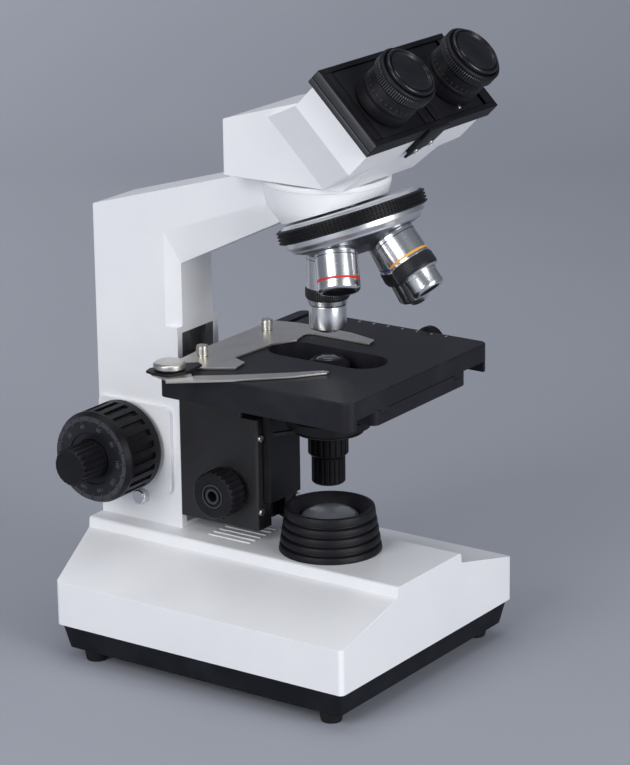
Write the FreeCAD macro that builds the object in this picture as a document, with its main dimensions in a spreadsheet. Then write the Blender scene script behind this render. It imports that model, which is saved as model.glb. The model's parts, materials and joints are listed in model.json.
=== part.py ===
"""Binocular bench microscope, modelled piece by piece.

Millimetres. +Z is up, -Y is towards the user, +X is to the user's right. The origin is the middle of the
floor area that the instrument covers. Every size has a name in SIZES and a cell in the sheet, and the
sketches are tied to those cells.
"""

import FreeCAD, Part
import math
import os
import Sketcher
from FreeCAD import Placement, Rotation, Vector

SIZES = {
    # Shift from the working axes (column middle plane) to the part's origin, set after the first build
    "shift_x": 0.0,
    "shift_y": 0.0,
    # Clearances
    "slide_gap": 0.2,
    "running_gap": 0.05,
    "body_gap": 0.3,
    "tooth_backlash": 0.15,
    # Optical layout: the vertical axis through collector, condenser and the objective in use
    "axis_y": -40.0,
    "stage_top": 181.3,
    "objective_tip": 195.9,
    "parfocal_length": 45.0,
    # Base housing
    "base_width": 176.0,
    "base_front": -107.0,
    "base_side_back": 90.0,
    "base_back": 109.0,
    "base_bottom": 22.0,
    "wall_top": 48.0,
    "wing_top": 61.2,
    "plateau_top": 67.3,
    "plateau_width": 65.0,
    "plateau_draft": 1.0,
    "plateau_edge_radius": 2.0,
    "base_corner_radius": 3.0,
    # Bottom tray and feet
    "tray_bottom": 7.0,
    "tray_inset_top": 2.0,
    "tray_inset_bottom": 5.0,
    "foot_inset_side": 8.5,
    "foot_top_radius": 7.0,
    "foot_bottom_radius": 5.8,
    # Vent slots behind the collector
    "vent_count": 6.0,
    "vent_pitch": 5.3,
    "vent_width": 1.7,
    "vent_front": 2.0,
    "vent_back": 32.0,
    "vent_depth": 4.0,
    # Collector
    "collector_foot_radius": 29.6,
    "collector_rim_radius": 25.4,
    "collector_height": 25.6,
    "collector_rib_pitch": 5.1,
    "collector_groove_depth": 2.0,
    "collector_groove_width": 1.7,
    "collector_bore_radius": 17.4,
    "collector_lens_seat": 15.5,
    "collector_lens_edge": 3.0,
    "collector_lens_crown": 6.0,
    # Electrical fittings
    "inlet_width": 27.0,
    "inlet_height": 19.5,
    "inlet_flange": 3.0,
    "inlet_depth": 16.0,
    "inlet_across": -14.0,
    "fitting_height": 43.5,
    "switch_across": 16.0,
    "switch_width": 13.0,
    "switch_height": 19.0,
    "switch_depth": 10.0,
    "switch_bezel": 2.5,
    "dimmer_y": -62.0,
    "dimmer_height": 35.0,
    "dimmer_radius": 9.0,
    "dimmer_length": 9.0,
    "dimmer_shaft_radius": 3.0,
    # Column and arm
    "column_width": 39.0,
    "column_back": 109.0,
    "column_front": 50.5,
    "column_shoulder": 187.8,
    "waist_width": 29.0,
    "waist_front": 58.7,
    "arm_back_top": 253.5,
    "arm_front_top": 282.0,
    "arm_top_end": 8.0,
    "arm_inner_corner": 225.0,
    "arm_outer_corner": 243.2,
    "arm_reach": -30.0,
    "arm_inner_rise": 38.5,
    "arm_outer_rise": 33.2,
    "boss_top_radius": 36.0,
    "boss_waist_radius": 33.0,
    "boss_waist_drop": 12.5,
    "boss_low_radius": 13.0,
    "boss_low_drop": 42.0,
    "pad_corner_radius": 4.0,
    # Focus slide channel in the column
    "channel_half": 15.0,
    "channel_depth": 19.5,
    "channel_low": 70.0,
    "channel_high": 184.0,
    "rack_slot_half": 6.0,
    # Focus shaft
    "focus_y": 87.0,
    "focus_z": 113.5,
    "focus_pinion_teeth": 15.0,
    "gear_module": 0.8,
    "focus_bush_radius": 9.0,
    "focus_bush_inner": 4.5,
    "focus_tube_inner": 3.0,
    "focus_pad_height": 2.4,
    "focus_pad_width": 52.0,
    "focus_pad_length": 52.0,
    "coarse_back": 24.6,
    "coarse_face": 56.0,
    "coarse_radius": 27.0,
    "coarse_rim": 3.4,
    "coarse_dial_radius": 25.0,
    "coarse_recess_count": 24.0,
    "coarse_recess_width": 3.6,
    "coarse_recess_length": 20.0,
    "coarse_recess_depth": 1.5,
    "coarse_well_radius": 15.5,
    "coarse_well_depth": 2.5,
    "fine_face": 76.0,
    "fine_radius": 11.0,
    "fine_flute_count": 20.0,
    "fine_flute_radius": 1.0,
    "tension_y": 79.0,
    "tension_z": 82.2,
    "tension_radius": 4.6,
    "tension_length": 6.9,
    # Focus slide, rack and stage bracket
    "slide_front_half": 8.0,
    "slide_back_half": 11.5,
    "slide_low": 78.0,
    "slide_high": 152.0,
    "gib_front": 54.0,
    "rack_half": 5.4,
    "rack_thickness": 4.0,
    "bracket_half": 20.0,
    "bracket_front": -4.2,
    "bracket_step": 7.0,
    "bracket_low": 76.0,
    "bracket_step_top": 142.0,
    "bracket_top": 162.5,
    "bracket_screw_radius": 2.0,
    "bracket_screw_across": 17.5,
    "bracket_screw_high": 131.0,
    "bracket_screw_low": 87.0,
    # Condenser slide
    "condenser_knob_y": 16.0,
    "condenser_knob_z": 98.0,
    "condenser_knob_radius": 14.0,
    "condenser_knob_length": 14.5,
    "condenser_flute_count": 24.0,
    "condenser_slide_front_half": 7.0,
    "condenser_slide_back_half": 10.0,
    "condenser_slide_back": 3.2,
    "condenser_plate_half": 15.0,
    "condenser_plate_thickness": 5.0,
    "condenser_plate_low": 92.0,
    "condenser_plate_high": 146.0,
    "condenser_shaft_radius": 3.0,
    "carrier_low": 141.0,
    "carrier_high": 146.0,
    "carrier_radius": 24.0,
    # Condenser
    "condenser_radius": 19.8,
    "condenser_low": 137.5,
    "iris_low": 138.6,
    "iris_high": 140.7,
    "iris_lever_length": 33.0,
    "iris_lever_width": 3.0,
    "condenser_body_top": 160.0,
    "condenser_neck_radius": 16.0,
    "condenser_top_radius": 12.2,
    "condenser_top": 180.9,
    "condenser_lens_radius": 7.0,
    # Stage
    "stage_half": 70.0,
    "stage_front": -102.0,
    "stage_back": 26.6,
    "stage_skirt_low": 165.0,
    "stage_plate_low": 171.0,
    "stage_corner_radius": 6.0,
    "stage_slot_half": 14.0,
    "stage_slot_front": -77.0,
    "stage_slot_back": -2.0,
    "lower_plate_half": 46.0,
    "lower_plate_top": 170.7,
    "lower_plate_back": 40.0,
    "lower_plate_bevel": 3.0,
    "lower_plate_hole": 24.5,
    "guide_rib_x": 37.0,
    "guide_rib_half": 3.5,
    "guide_rib_height": 2.6,
    # Stage drive
    "drive_x": 60.0,
    "drive_y": 2.0,
    "drive_rack_front": -30.0,
    "drive_rack_back": 34.0,
    "drive_bearing_radius": 8.0,
    "drive_bearing_low": 146.0,
    "drive_sleeve_radius": 5.0,
    "drive_spindle_radius": 2.6,
    "y_knob_radius": 12.0,
    "y_knob_low": 99.5,
    "y_knob_high": 113.5,
    "x_knob_radius": 10.0,
    "x_knob_low": 82.0,
    "x_knob_high": 98.8,
    "drive_flute_count": 20.0,
    "drum_radius": 6.0,
    "stage_lock_y": -60.0,
    "stage_lock_z": 174.5,
    "stage_lock_radius": 8.6,
    "stage_lock_length": 8.0,
    # Slide holder
    "carriage_y": 16.8,
    "carriage_half": 4.6,
    "carriage_stem_half": 1.8,
    "carriage_depth": 6.5,
    "carriage_lip": 3.1,
    "carriage_left": -52.0,
    "carriage_right": 34.0,
    "holder_thickness": 1.1,
    "thumb_left_x": -41.0,
    "thumb_right_x": 21.0,
    "thumb_radius": 3.2,
    "thumb_height": 6.0,
    "thumb_shank_radius": 1.5,
    "pivot_x": -79.0,
    "pivot_y": 11.0,
    "pivot_radius": 2.5,
    "pivot_cap_radius": 9.0,
    "pivot_cap_height": 3.6,
    "finger_thickness": 1.1,
    "lever_thickness": 1.3,
    # Nosepiece, in its own axes tilted forwards by nose_tilt
    "nose_y": -56.6,
    "nose_z": 263.2,
    "nose_seat": 7.0,
    "grip_radius": 42.4,
    "grip_half": 4.2,
    "grip_notch_count": 48.0,
    "top_disc_radius": 38.0,
    "top_disc_high": 5.6,
    "lower_ring_radius": 39.5,
    "lower_ring_low": -7.2,
    "cone_outer_radius": 37.0,
    "seat_radius": 23.2,
    "seat_depth": 15.3,
    "pivot_pin_radius": 6.0,
    # Objectives
    "barrel_radius": 12.2,
    "objective_neck_radius": 10.0,
    "low_power_length": 27.0,
    "mid_power_length": 36.5,
    "high_power_length": 44.4,
    # Head
    "head_bottom": 286.0,
    "mount_ring_radius": 36.0,
    "mount_ring_inner": 27.0,
    "mount_ring_height": 2.4,
    "head_back": 4.0,
    "head_back_height": 31.5,
    "head_roof_y": -23.4,
    "head_roof_height": 39.1,
    "head_front_low": -62.5,
    "head_half": 35.0,
    "flare_start": 15.9,
    "flare_depth": 32.0,
    "slab_half": 55.0,
    "slab_low": -26.0,
    "slab_high": 21.7,
    "slab_depth": 19.0,
    # Sliding eyetube frame, in axes tilted with the tubes
    "frame_half": 60.0,
    "frame_low": -27.5,
    "frame_high": 24.1,
    "frame_floor": 3.0,
    "frame_depth": 9.5,
    "frame_rail": 3.4,
    "frame_end": 3.0,
    "plate_outer": 50.0,
    "plate_inner": 5.2,
    "plate_thickness": 5.6,
    "tube_spacing": 64.0,
    "tube_bore_radius": 11.6,
    "tube_radius": 14.0,
    "scale_base_radius": 22.0,
    "scale_base_height": 4.6,
    "scale_ring_radius": 18.4,
    "scale_ring_height": 9.6,
    "collar_radius": 20.0,
    "collar_height": 8.0,
    "cap_radius": 16.2,
    "cap_height": 2.6,
    "cap_plug_length": 6.0,
}


class Dim:
    """A size that knows both its number and the sheet expression it comes from."""

    def __init__(self, value, text):
        self.value = float(value)
        self.text = text

    def __add__(self, other):
        other = dim(other)
        return Dim(self.value + other.value, f"({self.text} + {other.text})")

    def __sub__(self, other):
        other = dim(other)
        return Dim(self.value - other.value, f"({self.text} - {other.text})")

    def __mul__(self, other):
        other = dim(other)
        return Dim(self.value * other.value, f"({self.text} * {other.text})")

    def __truediv__(self, other):
        other = dim(other)
        return Dim(self.value / other.value, f"({self.text} / {other.text})")

    def __neg__(self):
        return Dim(-self.value, f"(0 - {self.text})")

    def __radd__(self, other):
        return dim(other) + self

    def __rsub__(self, other):
        return dim(other) - self

    def __rmul__(self, other):
        return dim(other) * self


def dim(size):
    """Give a plain number the form of a Dim."""
    if isinstance(size, Dim):
        return size
    return Dim(size, f"{float(size):.6f}")


class Cells:
    """The sheet's cells by name, as Dim values."""

    def __init__(self, sizes):
        self.__dict__.update({name: Dim(value, f"Sizes.{name}") for name, value in sizes.items()})


S = Cells(SIZES)
ZERO = dim(0.0)
doc = FreeCAD.newDocument("BinocularMicroscope")
sheet = doc.addObject("Spreadsheet::Sheet", "Sizes")
for row, (name, value) in enumerate(SIZES.items(), start=1):
    sheet.set(f"A{row}", name)
    sheet.set(f"B{row}", str(value))
    sheet.setAlias(f"B{row}", name)
doc.recompute()

pieces = []


def new_body(name):
    """Start a separate piece in the working axes."""
    body = doc.addObject("PartDesign::Body", name)
    body.Label = name
    pieces.append(body)
    return body


def origin_feature(body, role):
    """Find an origin plane or axis of a piece."""
    return next(item for item in body.Origin.OriginFeatures if item.Role == role)


def new_sketch(body, role, height=None, turn=None, base=None):
    """Attach a sketch to an origin plane, height along the plane's normal, or turned about X at a base point."""
    sketch = body.newObject("Sketcher::SketchObject", f"{body.Name}_outline")
    sketch.AttachmentSupport = [(origin_feature(body, role), "")]
    sketch.MapMode = "FlatFace"
    if turn is not None:
        offset = Vector(base[0].value, base[1].value, base[2].value)
        sketch.AttachmentOffset = Placement(offset, Rotation(Vector(1, 0, 0), turn.value))
        for letter, size in zip("xyz", base):
            sketch.setExpression(f"AttachmentOffset.Base.{letter}", size.text)
        sketch.setExpression("AttachmentOffset.Rotation.Angle", f"{turn.text} * 1 deg")
    elif height is not None:
        height = dim(height)
        sketch.AttachmentOffset = Placement(Vector(0, 0, height.value), Rotation())
        sketch.setExpression("AttachmentOffset.Base.z", height.text)
    return sketch


def tie(sketch, geometry, position, corner, constraints, ties):
    """Tie a point of a sketch to a pair of sizes."""
    across, along = dim(corner[0]), dim(corner[1])
    for kind, size, axis in (("DistanceX", across, -2), ("DistanceY", along, -1)):
        if size.text == ZERO.text:
            constraints.append(Sketcher.Constraint("PointOnObject", geometry, position, axis))
        else:
            ties.append((len(constraints), size.text))
            constraints.append(Sketcher.Constraint(kind, -1, 1, geometry, position, size.value))


def finish_sketch(sketch, first, constraints, ties):
    """Add the constraints and bind their sizes to the sheet."""
    sketch.addConstraint(constraints)
    for number, text in ties:
        sketch.setExpression(f"Constraints[{first + number}]", text)


def outline(sketch, *corners):
    """Draw a closed outline of straight edges, every corner tied to the sheet."""
    start = sketch.GeometryCount
    count = len(corners)
    points = [Vector(dim(x).value, dim(y).value, 0) for x, y in corners]
    sketch.addGeometry([Part.LineSegment(points[i], points[(i + 1) % count]) for i in range(count)], False)
    constraints, ties = [], []
    for i in range(count):
        constraints.append(Sketcher.Constraint("Coincident", start + i, 2, start + (i + 1) % count, 1))
    for i, corner in enumerate(corners):
        tie(sketch, start + i, 1, corner, constraints, ties)
    finish_sketch(sketch, sketch.ConstraintCount, constraints, ties)
    return sketch


def rectangle(sketch, left, right, low, high):
    """Draw a rectangle between four sizes."""
    return outline(sketch, (left, low), (right, low), (right, high), (left, high))


def circle(sketch, centre, radius):
    """Draw a circle tied to the sheet."""
    radius = dim(radius)
    number = sketch.GeometryCount
    middle = Vector(dim(centre[0]).value, dim(centre[1]).value, 0)
    sketch.addGeometry(Part.Circle(middle, Vector(0, 0, 1), radius.value), False)
    constraints, ties = [], []
    tie(sketch, number, 3, centre, constraints, ties)
    ties.append((len(constraints), radius.text))
    constraints.append(Sketcher.Constraint("Radius", number, radius.value))
    finish_sketch(sketch, sketch.ConstraintCount, constraints, ties)
    return sketch


def pad(sketch, length, both_ways=False, reverse=False):
    """Raise a solid from a sketch."""
    feature = sketch.getParentGeoFeatureGroup().newObject("PartDesign::Pad", f"{sketch.Name}_pad")
    feature.Profile = (sketch, [""])
    length = dim(length)
    feature.Length = length.value
    feature.setExpression("Length", length.text)
    feature.SideType = "Symmetric" if both_ways else "One side"
    feature.Reversed = reverse
    return feature


def pocket(sketch, length=None, both_ways=False, reverse=False):
    """Cut with a sketch, all the way through both ways where no length is given."""
    feature = sketch.getParentGeoFeatureGroup().newObject("PartDesign::Pocket", f"{sketch.Name}_pocket")
    feature.Profile = (sketch, [""])
    if length is None:
        feature.Type = "ThroughAll"
        feature.SideType = "Symmetric"
        return feature
    length = dim(length)
    feature.Length = length.value
    feature.setExpression("Length", length.text)
    feature.SideType = "Symmetric" if both_ways else "One side"
    feature.Reversed = reverse
    return feature


def revolve(sketch):
    """Turn a half outline about the sketch's upright axis."""
    feature = sketch.getParentGeoFeatureGroup().newObject("PartDesign::Revolution", f"{sketch.Name}_turned")
    feature.Profile = (sketch, [""])
    feature.ReferenceAxis = (sketch, ["V_Axis"])
    feature.Angle = 360
    return feature


def loft(first, last):
    """Join two outlines with straight-ruled sides."""
    feature = first.getParentGeoFeatureGroup().newObject("PartDesign::AdditiveLoft", f"{first.Name}_loft")
    feature.Profile = (first, [""])
    feature.Sections = [(last, [""])]
    feature.Ruled = True
    return feature


def around(body, feature, count, role="Z_Axis"):
    """Repeat a feature round an origin axis of the piece."""
    pattern = body.newObject("PartDesign::PolarPattern", f"{feature.Name}_round")
    pattern.Originals = [feature]
    pattern.Axis = (origin_feature(body, role), [""])
    pattern.Angle = 360
    pattern.Occurrences = int(count.value)
    pattern.setExpression("Occurrences", count.text)
    body.Tip = pattern
    return pattern


def in_line(body, feature, role, pitch, count):
    """Repeat a feature along an origin axis of the piece."""
    pattern = body.newObject("PartDesign::LinearPattern", f"{feature.Name}_row")
    pattern.Originals = [feature]
    pattern.Direction = (origin_feature(body, role), [""])
    pattern.Mode = "Spacing"
    pattern.Offset = pitch.value
    pattern.setExpression("Offset", pitch.text)
    pattern.Occurrences = int(count.value)
    pattern.setExpression("Occurrences", count.text)
    body.Tip = pattern
    return pattern


def mirrored(body, feature, role="YZ_Plane"):
    """Repeat a feature on the other side of an origin plane."""
    twin = body.newObject("PartDesign::Mirrored", f"{feature.Name}_mirror")
    twin.Originals = [feature]
    twin.MirrorPlane = (origin_feature(body, role), [""])
    body.Tip = twin
    return twin


def rounded(body, radius, chosen):
    """Round the edges that the test accepts, an edge being given by its middle and direction."""
    doc.recompute()
    base = body.Tip
    names = []
    for number, edge in enumerate(base.Shape.Edges, start=1):
        middle = edge.valueAt((edge.FirstParameter + edge.LastParameter) / 2)
        ends = edge.Vertexes
        direction = (ends[-1].Point - ends[0].Point).normalize() if len(ends) > 1 else Vector(0, 0, 0)
        if chosen(middle, direction, edge):
            names.append(f"Edge{number}")
    radius = dim(radius)
    feature = body.newObject("PartDesign::Fillet", f"{body.Name}_round")
    feature.Base = (base, names)
    feature.Radius = radius.value
    feature.setExpression("Radius", radius.text)
    body.Tip = feature
    return feature


def near(value, size, slack=0.05):
    """Tell whether a number is at a size."""
    return abs(value - dim(size).value) < slack


def place(piece, x=ZERO, y=ZERO, z=ZERO, rotation=None):
    """Put a piece at a point of the working axes, tied to the sheet with the shift to the origin."""
    spot = (dim(x) + S.shift_x, dim(y) + S.shift_y, dim(z))
    piece.Placement = Placement(Vector(*(size.value for size in spot)), rotation or Rotation())
    for letter, size in zip("xyz", spot):
        piece.setExpression(f"Placement.Base.{letter}", size.text)


def turned_piece(name, *corners, role="XZ_Plane"):
    """Make a piece by turning a half outline, given as radius and height, about its own Z axis."""
    body = new_body(name)
    revolve(outline(new_sketch(body, role), *corners))
    return body


def fluted(body, count, flute_radius, at_radius, low, high):
    """Cut round flutes along the rim of a turned piece."""
    cutter = pocket(circle(new_sketch(body, "XY_Plane", low), (at_radius, ZERO), flute_radius), high - low, reverse=True)
    return around(body, cutter, count)


AXIS_X = Vector(1, 0, 0)
AXIS_Y = Vector(0, 1, 0)
AXIS_Z = Vector(0, 0, 1)
TO_LEFT = Rotation(AXIS_Y, -90)
TO_RIGHT = Rotation(AXIS_Y, 90)

# Driving values that several pieces share

HALF_BASE = S.base_width / 2
HALF_PLATEAU = S.plateau_width / 2
HALF_COLUMN = S.column_width / 2
HALF_WAIST = S.waist_width / 2
PITCH_RADIUS = S.gear_module * S.focus_pinion_teeth / 2
CHANNEL_BACK = S.column_front + S.channel_depth
TOOTH_REACH = S.gear_module * 0.7
RACK_FACE = S.focus_y - PITCH_RADIUS
PAD_FACE = HALF_COLUMN + S.focus_pad_height
HOLDER_LOW = S.stage_top + S.slide_gap
CARRIAGE_LOW = S.stage_top - S.carriage_depth
CARRIAGE_NECK = S.stage_top - S.carriage_lip
HOLDER_TOP = HOLDER_LOW + S.holder_thickness
FINGER_LOW = HOLDER_TOP + S.slide_gap
FINGER_TOP = FINGER_LOW + S.finger_thickness
LEVER_TOP = FINGER_TOP + S.lever_thickness


def tooth_angle(radius, pitch_radius, module, backlash):
    """Half the angle that an involute tooth takes at a radius."""
    pressure = math.radians(20)
    base_radius = pitch_radius * math.cos(pressure)
    slope = math.acos(min(1.0, base_radius / radius))
    at_pitch = (math.pi * module / 2 - backlash) / (2 * pitch_radius)
    return at_pitch + (math.tan(pressure) - pressure) - (math.tan(slope) - slope)


def add_solid(name, shape):
    """Keep a solid that Part's own functions made as a piece."""
    feature = doc.addObject("Part::Feature", name)
    feature.Label = name
    feature.Shape = shape
    pieces.append(feature)
    return feature


def pinion_shape(module, teeth, width, backlash):
    """An involute pinion about Z, centred on height 0, one tooth pointing along -Y."""
    pitch_radius = module * teeth / 2
    root = pitch_radius - 1.2 * module
    tip = pitch_radius + 0.9 * module
    base_radius = pitch_radius * math.cos(math.radians(20))
    steps = [base_radius + (tip - base_radius) * i / 3 for i in range(4)]
    corners = []
    for number in range(int(teeth)):
        centre = -math.pi / 2 + 2 * math.pi * number / teeth
        flank = [(root, tooth_angle(steps[0], pitch_radius, module, backlash))]
        flank += [(radius, tooth_angle(radius, pitch_radius, module, backlash)) for radius in steps]
        for radius, angle in flank:
            corners.append(Vector(radius * math.cos(centre - angle), radius * math.sin(centre - angle), 0))
        for radius, angle in reversed(flank):
            corners.append(Vector(radius * math.cos(centre + angle), radius * math.sin(centre + angle), 0))
    disc = Part.Face(Part.makePolygon(corners + corners[:1])).extrude(Vector(0, 0, width))
    return disc.translated(Vector(0, 0, -width / 2))


def shaft_shape(radius, low, high, bore=0.0):
    """A round shaft about Z between two heights, with a bore where one is given."""
    rod = Part.makeCylinder(radius, high - low, Vector(0, 0, low))
    return rod.cut(Part.makeCylinder(bore, high - low, Vector(0, 0, low))) if bore else rod


def rack_shape(module, reach, root_depth, low, high, middle, back, half, backlash):
    """A rack along Z whose teeth point to +Y, with a tooth gap at the height called middle."""
    pitch = math.pi * module
    slope = math.tan(math.radians(20))
    half_tooth = (math.pi * module / 2 - backlash) / 2
    corners = [Vector(-half, -back, low), Vector(-half, -root_depth, low)]
    number = math.ceil((low + pitch / 2 - middle) / pitch - 0.5)
    while middle + (number + 0.5) * pitch < high - pitch / 2:
        centre = middle + (number + 0.5) * pitch
        if centre > low + pitch / 2:
            foot = half_tooth + root_depth * slope
            crest = half_tooth - reach * slope
            corners += [
                Vector(-half, -root_depth, centre - foot),
                Vector(-half, reach, centre - crest),
                Vector(-half, reach, centre + crest),
                Vector(-half, -root_depth, centre + foot),
            ]
        number += 1
    corners += [Vector(-half, -root_depth, high), Vector(-half, -back, high)]
    return Part.Face(Part.makePolygon(corners + corners[:1])).extrude(Vector(2 * half, 0, 0))


def dome(radius, low, height, steps=6):
    """Half outline corners of a shallow dome, from its rim to its top."""
    turns = [math.pi / 2 * number / steps for number in range(1, steps + 1)]
    crown = [(radius * math.cos(turn), low + height * math.sin(turn)) for turn in turns[:-1]]
    return crown + [(ZERO, low + height)]


def oblong(half, front, back, steps=10):
    """Corners of a slot along Y with round ends, as wide as twice its half."""
    corners = []
    for middle, start in ((back - half, 0.0), (front + half, math.pi)):
        for number in range(steps + 1):
            turn = start + math.pi * number / steps
            corners.append((half * math.cos(turn), middle + half * math.sin(turn)))
    return corners


# Base housing: two low wings beside a raised middle, hollow, with the bowed back

base_housing = new_body("base_housing")
base_section = outline(
    new_sketch(base_housing, "XZ_Plane", -S.base_front),
    (-HALF_BASE, S.base_bottom),
    (HALF_BASE, S.base_bottom),
    (HALF_BASE, S.wall_top),
    (HALF_PLATEAU + S.plateau_draft, S.wing_top),
    (HALF_PLATEAU, S.plateau_top),
    (-HALF_PLATEAU, S.plateau_top),
    (-HALF_PLATEAU - S.plateau_draft, S.wing_top),
    (-HALF_BASE, S.wall_top),
)
pad(base_section, S.base_back - S.base_front, reverse=True)
back_corner = outline(
    new_sketch(base_housing, "XY_Plane"),
    (HALF_BASE, S.base_side_back),
    (HALF_BASE + 5, S.base_side_back),
    (HALF_BASE + 5, S.base_back + 5),
    (HALF_PLATEAU, S.base_back + 5),
    (HALF_PLATEAU, S.base_back),
)
mirrored(base_housing, pocket(back_corner))
rounded(
    base_housing,
    S.base_corner_radius,
    lambda middle, way, edge: abs(way.z) > 0.99 and near(abs(middle.x), HALF_BASE) and middle.z < SIZES["wall_top"],
)
wall = dim(4.0)
low_room = rectangle(
    new_sketch(base_housing, "XY_Plane", S.base_bottom),
    -HALF_BASE + wall,
    HALF_BASE - wall,
    S.base_front + wall,
    S.base_side_back - wall,
)
pocket(low_room, S.wall_top - S.base_bottom - wall, reverse=True)
high_room = rectangle(
    new_sketch(base_housing, "XY_Plane", S.base_bottom),
    -HALF_PLATEAU + wall,
    HALF_PLATEAU - wall,
    S.base_front + wall,
    S.base_back - wall,
)
pocket(high_room, S.plateau_top - S.base_bottom - wall, reverse=True)
light_hole = circle(
    new_sketch(base_housing, "XY_Plane", S.plateau_top), (ZERO, S.axis_y), S.collector_bore_radius - 2
)
pocket(light_hole, wall + 2)
vent_row = S.vent_pitch * (S.vent_count - 1)
vent = rectangle(
    new_sketch(base_housing, "XY_Plane", S.plateau_top),
    -S.vent_width / 2 - vent_row * 0.72,
    S.vent_width / 2 - vent_row * 0.72,
    S.vent_front,
    S.vent_back,
)
in_line(base_housing, pocket(vent, S.vent_depth + 1), "X_Axis", S.vent_pitch, S.vent_count)
module_hole = rectangle(
    new_sketch(base_housing, "XZ_Plane", -S.base_back),
    S.inlet_across - S.inlet_width / 2,
    S.switch_across + S.switch_width / 2 + S.switch_bezel,
    S.fitting_height - S.inlet_height / 2,
    S.fitting_height + S.inlet_height / 2,
)
pocket(module_hole, wall + 1, reverse=True)
dimmer_hole = circle(
    new_sketch(base_housing, "YZ_Plane", HALF_BASE), (S.dimmer_y, S.dimmer_height), S.dimmer_shaft_radius + S.running_gap
)
pocket(dimmer_hole, wall + 1)
rounded(
    base_housing,
    S.plateau_edge_radius,
    lambda middle, way, edge: abs(way.y) > 0.99 and near(abs(middle.x), HALF_PLATEAU) and near(middle.z, S.plateau_top),
)
place(base_housing)


def base_plan(inset):
    """The housing's plan moved inwards all round."""
    return (
        (-HALF_BASE + inset, S.base_front + inset),
        (HALF_BASE - inset, S.base_front + inset),
        (HALF_BASE - inset, S.base_side_back - inset),
        (HALF_PLATEAU - inset * 0.3, S.base_back - inset),
        (-HALF_PLATEAU + inset * 0.3, S.base_back - inset),
        (-HALF_BASE + inset, S.base_side_back - inset),
    )


# Bottom tray with the feet and its fixing screws

base_tray = new_body("base_tray")
tray_low = outline(new_sketch(base_tray, "XY_Plane", S.tray_bottom), *base_plan(S.tray_inset_bottom))
tray_high = outline(new_sketch(base_tray, "XY_Plane", S.base_bottom), *base_plan(S.tray_inset_top))
loft(tray_low, tray_high)
tray_room = rectangle(
    new_sketch(base_tray, "XY_Plane", S.base_bottom),
    -HALF_BASE + wall * 3,
    HALF_BASE - wall * 3,
    S.base_front + wall * 3,
    S.base_side_back - wall * 3,
)
pocket(tray_room, S.base_bottom - S.tray_bottom - 3)
place(base_tray)

FOOT_X = HALF_BASE - S.foot_inset_side - 5
FOOT_Y = ((S.base_front + 16.5), (S.base_side_back - 17))
feet = new_body("feet")
feet.AllowCompound = True
foot_tops = new_sketch(feet, "XY_Plane", S.tray_bottom)
for across in (-FOOT_X, FOOT_X):
    for along in FOOT_Y:
        circle(foot_tops, (across, along), S.foot_top_radius)
foot_pad = pad(foot_tops, S.tray_bottom, reverse=True)
foot_pad.TaperAngle = -math.degrees(math.atan(1.2 / 7))
place(feet)

# Collector over the lamp

ribs = 4
collar_side = []
lean = (S.collector_foot_radius - S.collector_rim_radius) / S.collector_height
for number in range(ribs):
    low = S.collector_rib_pitch * (number + 0.75)
    high = low + S.collector_groove_width
    for height, depth in ((low, 0), (low, 1), (high, 1), (high, 0)):
        collar_side.append((S.collector_foot_radius - lean * height - S.collector_groove_depth * depth, height))
collector_collar = turned_piece(
    "collector_collar",
    (S.collector_bore_radius - 2, ZERO),
    (S.collector_foot_radius, ZERO),
    *collar_side,
    (S.collector_rim_radius, S.collector_height),
    (S.collector_rim_radius - 2.2, S.collector_height),
    (S.collector_bore_radius, S.collector_lens_seat + S.collector_lens_edge + 1),
    (S.collector_bore_radius, S.collector_lens_seat),
    (S.collector_bore_radius - 2, S.collector_lens_seat),
)
place(collector_collar, y=S.axis_y, z=S.plateau_top)

collector_lens = turned_piece(
    "collector_lens",
    (ZERO, S.collector_lens_seat),
    (S.collector_bore_radius, S.collector_lens_seat),
    (S.collector_bore_radius, S.collector_lens_seat + S.collector_lens_edge),
    *dome(S.collector_bore_radius - 0.8, S.collector_lens_seat + S.collector_lens_edge, S.collector_lens_crown),
)
place(collector_lens, y=S.axis_y, z=S.plateau_top)

lamp_floor = S.tray_bottom + 3
lamp_module = turned_piece(
    "lamp_module",
    (ZERO, ZERO),
    (S.collector_bore_radius + 6, ZERO),
    (S.collector_bore_radius + 6, dim(4.0)),
    (S.collector_bore_radius - 5, dim(4.0)),
    (S.collector_bore_radius - 5, dim(38.0)),
    (S.collector_bore_radius - 8, dim(40.0)),
    (ZERO, dim(42.0)),
)
place(lamp_module, y=S.axis_y, z=lamp_floor)

# Mains inlet module in the back wall, with the rocker that rides in it

power_inlet = new_body("power_inlet")
module_left = S.inlet_across - S.inlet_width / 2
module_right = S.switch_across + S.switch_width / 2 + S.switch_bezel
module_low = S.fitting_height - S.inlet_height / 2
module_high = S.fitting_height + S.inlet_height / 2
flange = rectangle(
    new_sketch(power_inlet, "XZ_Plane", -S.base_back),
    module_left - 2,
    module_right + 2,
    module_low - 2,
    module_high + 2,
)
pad(flange, S.inlet_flange / 2, reverse=True)
module_body = rectangle(
    new_sketch(power_inlet, "XZ_Plane", -S.base_back), module_left, module_right, module_low, module_high
)
pad(module_body, S.inlet_depth)
socket = outline(
    new_sketch(power_inlet, "XZ_Plane", -S.base_back - S.inlet_flange / 2),
    (S.inlet_across - 12, S.fitting_height - 7.5),
    (S.inlet_across + 12, S.fitting_height - 7.5),
    (S.inlet_across + 12, S.fitting_height + 3.5),
    (S.inlet_across + 8, S.fitting_height + 7.5),
    (S.inlet_across - 8, S.fitting_height + 7.5),
    (S.inlet_across - 12, S.fitting_height + 3.5),
)
pocket(socket, S.inlet_depth - 1, reverse=True)
pins = new_sketch(power_inlet, "XZ_Plane", -S.base_back + S.inlet_depth - 3)
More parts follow.
